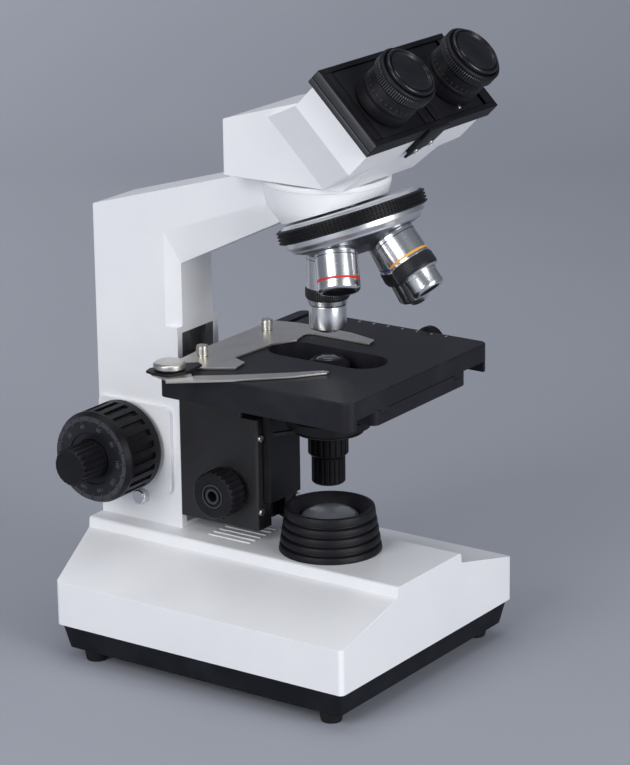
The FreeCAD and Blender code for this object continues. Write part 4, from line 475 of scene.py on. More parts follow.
@dataclass(frozen=True)
class Brushed:
    """Nickel-plated sheet with a fine grain along one direction."""

    name: str
    colour: Tone = Tone.NICKEL
    turn: float = 0.0
    gloss: float = 0.24
    streak: float = 0.25
    draw: float = 0.03

    def make(self) -> Material:
        """Builds the plated sheet.

        Returns:
            The material.
        """
        sheet = Recipe(self.name)
        drawn = sheet.mapped(Scale=(self.draw, 1.0, 1.0), Rotation=(0.0, 0.0, self.turn))
        streaks = sheet.noise(self.streak, 4.0, drawn)
        stain = sheet.ramp(sheet.noise(11.0, 4.0), (0.40, 0.0), (0.80, 1.0))
        red, green, blue = self.colour.value
        sheet.feed("Base Color", sheet.mix(stain, self.colour.value, (red * 0.88, green * 0.88, blue * 0.90)))
        sheet.feed("Metallic", 1.0)
        sheet.feed("Roughness", self.gloss + 0.22 * streaks)
        sheet.relief(streaks, 0.004)
        return sheet.material


@dataclass(frozen=True)
class Paint:
    """Thin coloured ink in an engraved line, ring or number."""

    name: str
    colour: Tone
    shine: float = 0.5

    def make(self) -> Material:
        """Builds the ink.

        Returns:
            The material.
        """
        ink = Recipe(self.name)
        ink.feed("Specular IOR Level", self.shine)
        thin = ink.ramp(ink.noise(0.6, 3.0), (0.40, 0.0), (0.85, 1.0))
        faded = tuple(part * 0.72 for part in self.colour.value)
        ink.feed("Base Color", ink.mix(thin, self.colour.value, faded))
        ink.feed("Roughness", 0.42 + 0.15 * thin)
        ink.relief(ink.noise(0.2, 2.0), 0.004)
        return ink.material


@dataclass(frozen=True)
class Lens:
    """Polished optical glass with a faint coating."""

    name: str
    colour: Tone = Tone.GLASS
    haze: float = 0.03
    clear: float = 1.0

    def make(self) -> Material:
        """Builds the glass.

        Returns:
            The material.
        """
        glass = Recipe(self.name)
        dust = glass.ramp(glass.noise(1.4, 5.0), (0.60, 0.0), (0.85, 1.0))
        glass.feed("Base Color", self.colour.value)
        glass.feed("Transmission Weight", self.clear)
        glass.feed("IOR", 1.52)
        glass.feed("Coat Weight", 0.6)
        glass.feed("Coat Roughness", 0.02)
        glass.feed("Roughness", self.haze + 0.10 * dust)
        return glass.material


# ---------------------------------------------------------------- mesh tools


@dataclass(frozen=True)
class Axes:
    """A working plane: an origin in the instrument's layout and a turn, with Z as its own axis."""

    origin: Point
    turn: Matrix = field(default_factory=lambda: Matrix.Identity(3))

    def matrix(self) -> Matrix:
        """The plane's placement in the frame."""
        return Matrix.Translation(at(*self.origin)) @ self.turn.to_4x4()


def about(axis: str, degrees: float) -> Matrix:
    """A turn about one of the main axes."""
    return Matrix.Rotation(math.radians(degrees), 3, axis)


def eased(outline: Outline, ease: float, closed: bool) -> list[Corner]:
    """Rounds the corners of a turned outline a little.

    Args:
        outline: radius, height and finish number of each corner in millimetres.
        ease: the longest cut along each side of a corner.
        closed: whether the outline runs back to its first corner.

    Returns:
        The outline with three points for each sharp corner.
    """
    result: list[Corner] = []
    count = len(outline)
    for index, (radius, height, finish) in enumerate(outline):
        inner = closed or 0 < index < count - 1
        here = Vector((radius, height))
        before = Vector(outline[index - 1][:2]) - here
        after = Vector(outline[(index + 1) % count][:2]) - here
        if not inner or min(before.length, after.length) < TINY or before.angle(after) > NEARLY_FLAT:
            result.append((radius, height, finish))
            continue
        cut = min(ease, before.length * 0.35, after.length * 0.35)
        start = here + before.normalized() * cut
        end = here + after.normalized() * cut
        middle = start * 0.25 + here * 0.5 + end * 0.25
        previous = outline[index - 1][2]
        result.append((start.x, start.y, previous))
        result.append((middle.x, middle.y, finish))
        result.append((end.x, end.y, finish))
    return result


def turned(outline: Outline, steps: int = 96, ease: float = 0.25) -> bmesh.types.BMesh:
    """Turns an outline about Z.

    Args:
        outline: radius, height and finish number of each corner; the finish covers the run that starts there.
        steps: facets round the axis.
        ease: how far the corners are rounded.

    Returns:
        A closed mesh in metres about its own axis.
    """
    closed = min(outline[0][0], outline[-1][0]) > TINY
    corners = eased(outline, ease, closed)
    shape = bmesh.new()
    rings: list[list[bmesh.types.BMVert]] = []
    for radius, height, _ in corners:
        if radius < TINY:
            rings.append([shape.verts.new((0, 0, height * MM))])
            continue
        angles = [math.tau * step / steps for step in range(steps)]
        reach, level = radius * MM, height * MM
        places = [(reach * math.cos(angle), reach * math.sin(angle), level) for angle in angles]
        rings.append([shape.verts.new(place) for place in places])
    last = len(rings) if closed else len(rings) - 1
    for index in range(last):
        low, high = rings[index], rings[(index + 1) % len(rings)]
        for step in range(steps):
            following = (step + 1) % steps
            corner_set = [low[step % len(low)], low[following % len(low)]]
            corner_set += [high[following % len(high)], high[step % len(high)]]
            unique = list(dict.fromkeys(corner_set))
            if len(unique) > 2:
                face = shape.faces.new(unique)
                face.material_index = corners[index][2]
    bmesh.ops.recalc_face_normals(shape, faces=shape.faces)
    return shape


def piece(
    name: str,
    shape: bmesh.types.BMesh,
    matrix: Matrix,
    finishes: Sequence[Material],
    crease: float = 38.0,
) -> bpy.types.Object:
    """Makes an object at the origin from a mesh that is placed first.

    Args:
        name: the object's name.
        shape: the mesh in its own axes, in metres. It is freed.
        matrix: where the axes stand in the frame.
        finishes: materials by number.
        crease: edges sharper than this many degrees stay sharp.

    Returns:
        The object.
    """
    shape.transform(matrix)
    mesh = bpy.data.meshes.new(name)
    shape.to_mesh(mesh)
    shape.free()
    for finish in finishes:
        mesh.materials.append(finish)
    mesh.shade_smooth()
    mesh.set_sharp_from_angle(angle=math.radians(crease))
    return placed(name, mesh)


def fixed(thing: bpy.types.Object, body: str, slot: str, *nodes: str) -> bpy.types.Object:
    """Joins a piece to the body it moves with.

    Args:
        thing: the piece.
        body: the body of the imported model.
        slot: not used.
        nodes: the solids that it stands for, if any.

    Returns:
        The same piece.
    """
    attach(thing, body)
    if nodes:
        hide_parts(*nodes)
    LOG.info("%s rides on %s", thing.name, body)
    return thing


def body_of(node: str) -> str:
    """The body that a solid belongs to."""
    return frame["nodes"][node]["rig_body"]


def softened(
    node: str, slot: str, finish: Material, width: float = 0.5, angle: float = 30.0, steps: int = 2
) -> bpy.types.Object:
    """A copy of a solid with its sharp edges broken, which stands for the solid.

    Args:
        node: the solid.
        slot: its material slot.
        finish: the copy's material.
        width: width of the broken edge in millimetres.
        angle: edges sharper than this are broken.
        steps: facets of the broken edge.

    Returns:
        The copy.
    """
    shape = bmesh.new()
    shape.from_mesh(frame["nodes"][node].data)
    bmesh.ops.remove_doubles(shape, verts=shape.verts, dist=2e-6)
    bmesh.ops.dissolve_limit(shape, angle_limit=math.radians(1.2), verts=shape.verts, edges=shape.edges)
    mesh = bpy.data.meshes.new(f"{node}_plain")
    shape.to_mesh(mesh)
    shape.free()
    raw = placed(f"{node}_plain", mesh)
    mesh.shade_smooth()
    bevel = raw.modifiers.new("edges", "BEVEL")
    bevel.width = width * MM
    bevel.segments = steps
    bevel.limit_method = "ANGLE"
    bevel.angle_limit = math.radians(angle)
    bevel.harden_normals = False
    weighted = raw.modifiers.new("shading", "WEIGHTED_NORMAL")
    weighted.keep_sharp = True
    final = baked(raw)
    final.name = f"{node}_finished"
    final.materials.clear()
    final.materials.append(finish)
    return fixed(placed(final.name, final), body_of(node), slot, node)


def dressed(node: str, finish: Material) -> None:
    """Gives a solid that stays as it is a better material.

    Args:
        node: the solid.
        finish: its new material.
    """
    for entry in frame["nodes"][node].material_slots:
        entry.material = finish
    LOG.info("%s keeps its shape", node)


# ---------------------------------------------------------------- repeated detail


class RingOfStuds(Graph):
    """Studs, ribs or marks in rings about Z, made by a geometry node tree with named sizes."""

    INPUTS: dict[str, tuple[str, object]] = {
        "Count": ("NodeSocketInt", 60),
        "Rows": ("NodeSocketInt", 1),
        "Radius": ("NodeSocketFloat", 0.01),
        "Start": ("NodeSocketFloat", 0.0),
        "Pitch": ("NodeSocketFloat", 0.002),
        "Depth": ("NodeSocketFloat", 0.001),
        "Width": ("NodeSocketFloat", 0.001),
        "Height": ("NodeSocketFloat", 0.001),
        "Taper": ("NodeSocketFloat", 0.7),
        "Finish": ("NodeSocketMaterial", None),
    }

    def __init__(self) -> None:
        """Builds the shared tree."""
        super().__init__(bpy.data.node_groups.new("ring_of_studs", "GeometryNodeTree"))
        face = self.tree.interface
        for name, (kind, value) in self.INPUTS.items():
            item = face.new_socket(name=name, in_out="INPUT", socket_type=kind)
            if value is not None:
                item.default_value = value
        face.new_socket(name="Geometry", in_out="OUTPUT", socket_type="NodeSocketGeometry")
        source = self.add("NodeGroupInput").outputs
        inputs = {"Vertices": 4, "Radius Top": source["Taper"], "Radius Bottom": 1.0, "Depth": 1.0}
        stud = self.add("GeometryNodeMeshCone", inputs, fill_type="NGON")
        square = self.moved(stud, Rotation=(0.0, 0.0, math.pi / 4), Scale=(SLANT, SLANT, 1.0))
        upright = self.moved(square, Rotation=(0.0, math.pi / 2, 0.0))
        inputs = {"X": source["Depth"], "Y": source["Width"], "Z": source["Height"]}
        size = self.add("ShaderNodeCombineXYZ", inputs)
        sized = self.moved(upright, Scale=size.outputs[0])
        inputs = {"Vertices": source["Count"], "Radius": source["Radius"]}
        circle = self.add("GeometryNodeMeshCircle", inputs)
        number = self.add("GeometryNodeInputIndex")
        inputs = {0: number.outputs[0], 1: source["Count"]}
        share = self.add("ShaderNodeMath", inputs, operation="DIVIDE")
        angle = self.add("ShaderNodeMath", {0: share.outputs[0], 1: math.tau}, operation="MULTIPLY")
        turn = self.add("ShaderNodeCombineXYZ", {"Z": angle.outputs[0]})
        inputs = {"Points": circle.outputs[0], "Instance": sized.outputs[0], "Rotation": turn.outputs[0]}
        ring = self.add("GeometryNodeInstanceOnPoints", inputs)
        start = self.add("ShaderNodeCombineXYZ", {"Z": source["Start"]})
        pitch = self.add("ShaderNodeCombineXYZ", {"Z": source["Pitch"]})
        inputs = {"Count": source["Rows"], "Start Location": start.outputs[0], "Offset": pitch.outputs[0]}
        rows = self.add("GeometryNodeMeshLine", inputs, mode="OFFSET")
        inputs = {"Points": rows.outputs[0], "Instance": ring.outputs[0]}
        stack = self.add("GeometryNodeInstanceOnPoints", inputs)
        whole = self.add("GeometryNodeRealizeInstances", {"Geometry": stack.outputs[0]})
        inputs = {"Geometry": whole.outputs[0], "Material": source["Finish"]}
        finish = self.add("GeometryNodeSetMaterial", inputs)
        self.add("NodeGroupOutput", {"Geometry": finish.outputs[0]})

    def moved(self, shape: bpy.types.Node, **settings: object) -> bpy.types.Node:
        """Adds a node that turns or scales another node's mesh."""
        return self.add("GeometryNodeTransform", {"Geometry": shape.outputs[0], **settings})

    def make(self, name: str, matrix: Matrix, finish: Material, **sizes: float) -> bpy.types.Object:
        """Runs the tree once and keeps its result as a plain mesh.

        Args:
            name: the new object's name.
            matrix: placement of the rings' axes.
            finish: the studs' material.
            sizes: the tree's named inputs, lengths in millimetres.

        Returns:
            The object, at the origin, with its place in its mesh.
        """
        carrier = placed(f"{name}_carrier", bpy.data.meshes.new(f"{name}_carrier"))
        modifier = carrier.modifiers.new("rings", "NODES")
        modifier.node_group = self.tree
        for item in self.tree.interface.items_tree:
            if item.in_out != "INPUT":
                continue
            if item.name == "Finish":
                modifier[item.identifier] = finish
            elif item.name in sizes:
                value = sizes[item.name]
                plain = item.name in ("Count", "Rows", "Taper")
                modifier[item.identifier] = value if plain else value * MM
        mesh = baked(carrier)
        mesh.transform(matrix)
        mesh.name = name
        return placed(name, mesh)


# ---------------------------------------------------------------- sub-assemblies


def made(recipe: Union[Enamel, Moulding, Crinkle, Satin, Brushed, Lens, Paint]) -> Material:
    """A field whose material is made from a finish when the set is."""
    return field(default_factory=recipe.make)


@dataclass
class Finishes:
    """Every finish, and the stud tool, that the sub-assemblies share."""

    enamel: Material = made(Enamel())
    plastic: Material = made(Moulding("moulded_black"))
    glossy: Material = made(Moulding("knob_black", grain=0.5, depth=0.006, gloss=0.36, shine=0.16))
    lacquer: Material = made(Moulding("cap_black", grain=0.5, depth=0.004, gloss=0.18, shine=0.45))
    tray: Material = made(Moulding("tray_black", Tone.TRAY, gloss=0.50, shine=0.12))
    rubber: Material = made(Moulding("foot_rubber", Tone.RUBBER, 0.6, depth=0.03, gloss=0.62, shine=0.3))
    crinkle: Material = made(Crinkle())
    satin: Material = made(Satin("satin_black"))
    dark: Material = made(Satin("deep_black", Tone.COAL, gloss=0.42))
    nickel: Material = made(Brushed("satin_nickel"))
    polished: Material = made(Brushed("polished_steel", Tone.CHROME, turn=0.0, gloss=0.10))
    steel: Material = made(Brushed("ground_steel", Tone.STEEL, turn=0.4, gloss=0.30))
    brass: Material = made(Brushed("brass", Tone.BRASS, turn=0.7, gloss=0.28))
    glass: Material = made(Lens("optical_glass"))
    # Collector glass: its rough frosted surface is real, its pale grey, mostly opaque colour is a painted
    # reflection.
    frosted: Material = made(Lens("frosted_glass", Tone.FROST, haze=0.30, clear=0.15))
    chalk: Material = made(Paint("white_ink", Tone.CHALK))
    faint: Material = made(Paint("faint_ink", Tone.ASH))
    dial: Material = made(Satin("dial_black", Tone.GRAPHITE, gloss=0.26, shine=0.35))
    # Painted highlight: ribs, knurls, rings and strips take this lighter grey instead of the black of the
    # parts they stand on.
    ribs: Material = made(Satin("rib_black_painted_highlight", Tone.SLATE, gloss=0.34, shine=0.5))
    soot: Material = made(Paint("black_ink", Tone.COAL, shine=0.04))
    red: Material = made(Paint("red_ring", Tone.RED))
    yellow: Material = made(Paint("yellow_ring", Tone.YELLOW))
    blue: Material = made(Paint("blue_ring", Tone.BLUE))
    studs: RingOfStuds = field(default_factory=RingOfStuds)


def slab(corners: Sequence[Span], low: float, high: float, ease: float) -> bmesh.types.BMesh:
    """The mesh of a flat plate with broken edges.

    Args:
        corners: its outline in millimetres, in the plane of its own axes.
        low: lower face.
        high: upper face.
        ease: width of the broken edge.

    Returns:
        The mesh in metres.
    """
    shape = bmesh.new()
    base, top = ([shape.verts.new((x * MM, y * MM, z * MM)) for x, y in corners] for z in (low, high))
    shape.faces.new(list(reversed(base)))
    shape.faces.new(top)
    for index in range(len(corners)):
        following = (index + 1) % len(corners)
        shape.faces.new((base[index], base[following], top[following], top[index]))
    bmesh.ops.bevel(
        shape, geom=list(shape.edges), offset=ease * MM, segments=2, affect="EDGES", profile=0.5
    )
    bmesh.ops.recalc_face_normals(shape, faces=shape.faces)
    return shape


def plate(
    name: str, corners: Sequence[Span], rise: Span, matrix: Matrix, finish: Material
) -> bpy.types.Object:
    """A flat plate with broken edges.

    Args:
        name: the piece's name.
        corners: its outline in millimetres, in the plane of the axes.
        rise: lower and upper face.
        matrix: placement of the axes.
        finish: its material.

    Returns:
        The plate.
    """
    low, high = rise
    return piece(name, slab(corners, low, high, min(0.2, (high - low) * 0.2)), matrix, [finish])


def bar(
    name: str, across: Span, along: Span, rise: Span, matrix: Matrix, finish: Material
) -> bpy.types.Object:
    """A plate with four square corners.

    Args:
        name: the piece's name.
        across: its ends along the axes' X.
        along: its ends along Y.
        rise: lower and upper face.
        matrix: placement of the axes.
        finish: its material.

    Returns:
        The bar.
    """
    (left, right), (front, back) = across, along
    corners = [(left, front), (right, front), (right, back), (left, back)]
    return plate(name, corners, rise, matrix, finish)


def screw(name: str, matrix: Matrix, radius: float, finish: Material) -> bpy.types.Object:
    """A small domed screw head with a round socket, its top along the axes' Z.

    Args:
        name: the piece's name.
        matrix: placement of the axes, at the seat.
        radius: head radius in millimetres.
        finish: its material.

    Returns:
        The screw.
    """
    rise = radius * 0.55
    sunk = -0.3
    turns = (0.0, 0.35, 0.7, 1.0)
    outline = [(0.0, sunk, 0), (radius, sunk, 0)]
    outline += [(radius * math.cos(turn), rise * (0.25 + 0.75 * math.sin(turn)), 0) for turn in turns]
    outline += [(radius * 0.34, rise, 0), (radius * 0.28, rise * 0.5, 0), (0.0, rise * 0.5, 0)]
    return piece(name, turned(outline, 24, 0.05), matrix, [finish])


@dataclass
class Stand:
    """Base housing, tray, feet, arm and what is fixed to them."""

    finishes: Finishes
    vent_pitch: float = 5.3
    vent_count: int = 6
    vent_offset: float = 0.72
    vent_run: Span = (2.3, 31.7)
    vent_bar: float = 0.75
    vent_rise: Span = (63.3, 67.8)
    plateau: float = 67.3
    collector_y: float = -40.0
    collar_foot: float = 29.6
    collar_rim: float = 25.4
    collar_height: float = 25.6
    groove_pitch: float = 5.1
    groove_width: float = 1.7
    groove_depth: float = 2.0

    def build(self) -> None:
        """Dresses the stand's solids and adds the vent louvres."""
        paint = self.finishes
        softened("base_housing", "white_paint", paint.enamel, 1.6, 20.0, 4)
        softened("arm", "white_paint", paint.enamel, 1.2, 24.0, 3)
        softened("base_tray", "black_plastic", paint.tray, 1.2, 30.0, 3)
        softened("feet", "foot_rubber", paint.rubber, 0.8, 40.0)
        softened("mount_ring", "black_metal", paint.enamel, 0.4)
        softened("tension_screw", "steel", paint.polished, 0.3, 40.0)
        for node in ("lamp_module", "power_inlet", "dimmer_knob"):
            dressed(node, self.finishes.plastic)
        for node in ("slide_gibs", "focus_bushes", "nose_pin"):
            dressed(node, self.finishes.steel)
        dressed("power_rocker", self.finishes.glossy)
        self.louvres()
        self.collector()

    def louvres(self) -> None:
        """White bars that stand in the vent slots and catch the light."""
        row = self.vent_pitch * (self.vent_count - 1)
        ground = Axes((0, 0, 0)).matrix()
        for number in range(self.vent_count):
            name = f"vent_bar_{number + 1}"
            middle = -row * self.vent_offset + number * self.vent_pitch
            width = (middle - self.vent_bar, middle + self.vent_bar)
            louvre = bar(name, width, self.vent_run, self.vent_rise, ground, self.finishes.enamel)
            fixed(louvre, "stand", "white_paint")

    def collector(self) -> None:
        """The ribbed collar with its soft shoulders and the lens in it."""
        axes = Axes((0.0, self.collector_y, self.plateau)).matrix()
        foot, rim, height, depth = self.collar_foot, self.collar_rim, self.collar_height, self.groove_depth
        lean = (foot - rim) / height
        side = []
        for number in range(4):
            low = self.groove_pitch * (number + 0.75)
            high = low + self.groove_width
            side += [
                (foot - lean * low, low, 0),
                (foot - lean * low - depth, low + 0.25, 0),
                (foot - lean * high - depth, high - 0.25, 0),
                (foot - lean * high, high, 0),
            ]
        outline = [(15.4, 0.0, 0), (foot, 0.0, 0), *side, (rim, height, 0), (rim - 2.2, height, 0)]
        outline += [(17.5, 19.6, 0), (17.4, 15.5, 0), (15.4, 15.5, 0)]
        shape = turned(outline, 128, 0.7)
        collar = piece("collector_collar_ribbed", shape, axes, [self.finishes.plastic], 50.0)
        fixed(collar, "stand", "black_metal", "collector_collar")
        # The lens's pale grey is a painted reflection on frosted glass.
        dressed("collector_lens", self.finishes.frosted)


@dataclass
class FocusDrive:
    """Coarse and fine focus knobs with the graduated dial."""

    finishes: Finishes
    shaft: Span = (87.0, 113.5)
    face: float = 56.05
    plate_radius: float = 25.2
    tick_radius: float = 22.4
    divisions: int = 200
    figure_step: int = 20
    figure_size: float = 3.3
    figure_radius: float = 18.9

    def build(self) -> None:
        """Dresses the knobs and draws the dials."""
        for node in ("coarse_knob_left", "coarse_knob_right"):
            softened(node, "black_plastic", self.finishes.glossy, 0.35)
        for node in ("fine_knob_left", "fine_knob_right"):
            softened(node, "black_plastic", self.finishes.plastic, 0.25)
        dressed("focus_pinion", self.finishes.steel)
        for side, turn in (("left", -90.0), ("right", 90.0)):
            self.dial(side, Axes((0.0, *self.shaft), about("Y", turn)).matrix())

    def dial(self, side: str, axes: Matrix) -> None:
        """Ticks and plain numbers on a coarse knob's face.

        Args:
            side: left or right.
            axes: the shaft's axes, with Z towards that side.
        """
        low, rim = 54.2, self.plate_radius
        outline = [(11.5, low, 0), (rim, low, 0), (rim, self.face, 0), (15.6, self.face, 0)]
        outline += [(15.2, 55.1, 0), (11.5, 54.9, 0)]
        ring = piece(f"dial_plate_{side}", turned(outline, 128, 0.04), axes, [self.finishes.dial])
        fixed(ring, "coarse", "black_plastic")
        for kind, count, length, width, radius in (
            ("fine", self.divisions, 2.6, 0.34, self.tick_radius),
            ("long", self.divisions // 10, 3.6, 0.46, self.tick_radius - 1.0),
        ):
            sizes = dict(Count=count, Radius=radius, Depth=length, Width=width, Height=0.08, Taper=1.0)
            name = f"dial_{kind}_ticks_{side}"
            paint = self.finishes.faint
            ticks = self.finishes.studs.make(name, axes, paint, Start=self.face + 0.01, **sizes)
            fixed(ticks, "coarse", "black_plastic")
        figures = bmesh.new()
        for number in range(0, self.divisions, self.figure_step):
            angle = -math.tau * number / self.divisions + math.pi / 2
            numeral(figures, str(number), self.figure_size, self.figure_radius, angle, self.face + 0.01)
        numbers = piece(f"dial_numbers_{side}", figures, axes, [self.finishes.faint])
        fixed(numbers, "coarse", "black_plastic")


def numeral(
    shape: bmesh.types.BMesh, text: str, size: float, radius: float, angle: float, height: float
) -> None:
    """Adds a number that stands on a circle about Z, read from outside it.

    Args:
        shape: the mesh that takes the number.
        text: its digits.
        size: height of the digits in millimetres.
        radius: distance from the axis.
        angle: place round the axis in radians.
        height: height along the axis.
    """
    curve = bpy.data.curves.new("number", "FONT")
    curve.body = text
    curve.size = size * MM
    curve.align_x = "CENTER"
    curve.align_y = "CENTER"
    curve.extrude = 0.05 * MM
    mesh = baked(placed("number", curve))
    place = Matrix.Rotation(angle, 4, "Z") @ Matrix.Translation((radius * MM, 0, height * MM))
    mesh.transform(place @ Matrix.Rotation(-math.pi / 2, 4, "Z"))
    shape.from_mesh(mesh)
    bpy.data.meshes.remove(mesh)


@dataclass
class Carrier:
    """The bracket that climbs with the focus, the condenser and its drive."""

    finishes: Finishes

    def build(self) -> None:
        """Dresses the bracket and the condenser."""
        paint = self.finishes
        softened("stage_bracket", "crinkle_black", paint.crinkle)
        softened("bracket_screws", "black_metal", paint.nickel, 0.2, 40.0)
        for node in ("focus_slide", "focus_rack", "stage_rack"):
            dressed(node, paint.steel)
        softened("stage_base", "black_metal", paint.satin, 0.6)
        dressed("condenser_pinion", paint.steel)
        softened("condenser_knob", "black_plastic", paint.plastic, 0.25)
        self.knob_rings()
        softened("condenser_carrier", "black_metal", paint.dark)
        dressed("condenser_rack", paint.brass)
        softened("condenser", "black_metal", paint.dark, 0.3)
        dressed("condenser_lens", paint.glass)
        softened("iris_ring", "black_metal", paint.dark, 0.2, 40.0)

    def knob_rings(self) -> None:
        """Raised rings on the condenser knob's face, round its sunk middle, in a lighter grey that is a
        painted highlight on them.
        """
        low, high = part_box("condenser_knob")
        centre = (low + high) / 2
        axes = Matrix.Translation(Vector((low.x, centre.y, centre.z))) @ about("Y", -90.0).to_4x4()
        for name, inner, outer in (("inner", 3.2, 4.6), ("outer", 6.2, 7.2)):
            ring = [(inner, -0.6, 0), (outer, -0.6, 0), (outer, 0.0, 0), (inner, 0.0, 0)]
            rim = piece(f"condenser_knob_ring_{name}", turned(ring, 64, 0.15), axes, [self.finishes.ribs])
            fixed(rim, "condenser_drive", "black_plastic")


@dataclass
class StageTop:
    """The sliding stage, its drive and the specimen holder."""

    finishes: Finishes
    top: float = 181.3
    thumbs: Span = (-41.0, 21.0)
    thumb_y: float = 16.8
    marks: int = 7
    mark_across: Span = (65.4, 68.0)
    mark_half: float = 0.22
    mark_run: Span = (-16.5, -75.6)

    def build(self) -> None:
        """Dresses the stage and the holder."""
        paint = self.finishes
        softened("stage_plate", "black_metal", paint.satin, 0.8, steps=3)
        softened("stage_lock", "black_plastic", paint.glossy, 0.3)
        dressed("y_pinion", paint.steel)
        softened("y_knob", "black_plastic", paint.glossy, 0.25)
        softened("x_knob", "black_plastic", paint.glossy, 0.25)
        softened("holder_carriage", "steel", paint.dark, 0.3)
        softened("slide_holder", "satin_nickel", paint.nickel, 0.25)
        softened("finger", "satin_nickel", paint.nickel, 0.25)
        softened("lever_plate", "black_metal", paint.dark, 0.25)
        softened("thumb_screws", "satin_nickel", paint.nickel, 0.2, 40.0)
        softened("pivot_cap", "satin_nickel", paint.nickel, 0.3, 40.0)
        self.thumb_knurls()
        self.scale()

    def thumb_knurls(self) -> None:
        """Fine knurls round the two thumb screws."""
        low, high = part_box("thumb_screws")
        height = (high.z - low.z) / MM
        for number, across in enumerate(self.thumbs):
            axes = Axes((across, self.thumb_y, low.z / MM)).matrix()
            sizes = dict(Count=26, Radius=3.2, Start=height - 2.9, Depth=0.3, Width=0.45, Height=4.2)
            ribs = self.finishes.studs.make(f"thumb_knurl_{number + 1}", axes, self.finishes.nickel, **sizes)
            fixed(ribs, "holder", "satin_nickel")

    def scale(self) -> None:
        """Short marks along the far edge of the stage."""
        start, end = self.mark_run
        rise = (self.top - 0.1, self.top + 0.04)
        ground = Axes((0, 0, 0)).matrix()
        for number in range(self.marks):
            name = f"stage_mark_{number + 1}"
            middle = start + (end - start) * number / (self.marks - 1)
            width = (middle - self.mark_half, middle + self.mark_half)
            mark = bar(name, self.mark_across, width, rise, ground, self.finishes.chalk)
            fixed(mark, "stage_top", "black_metal")


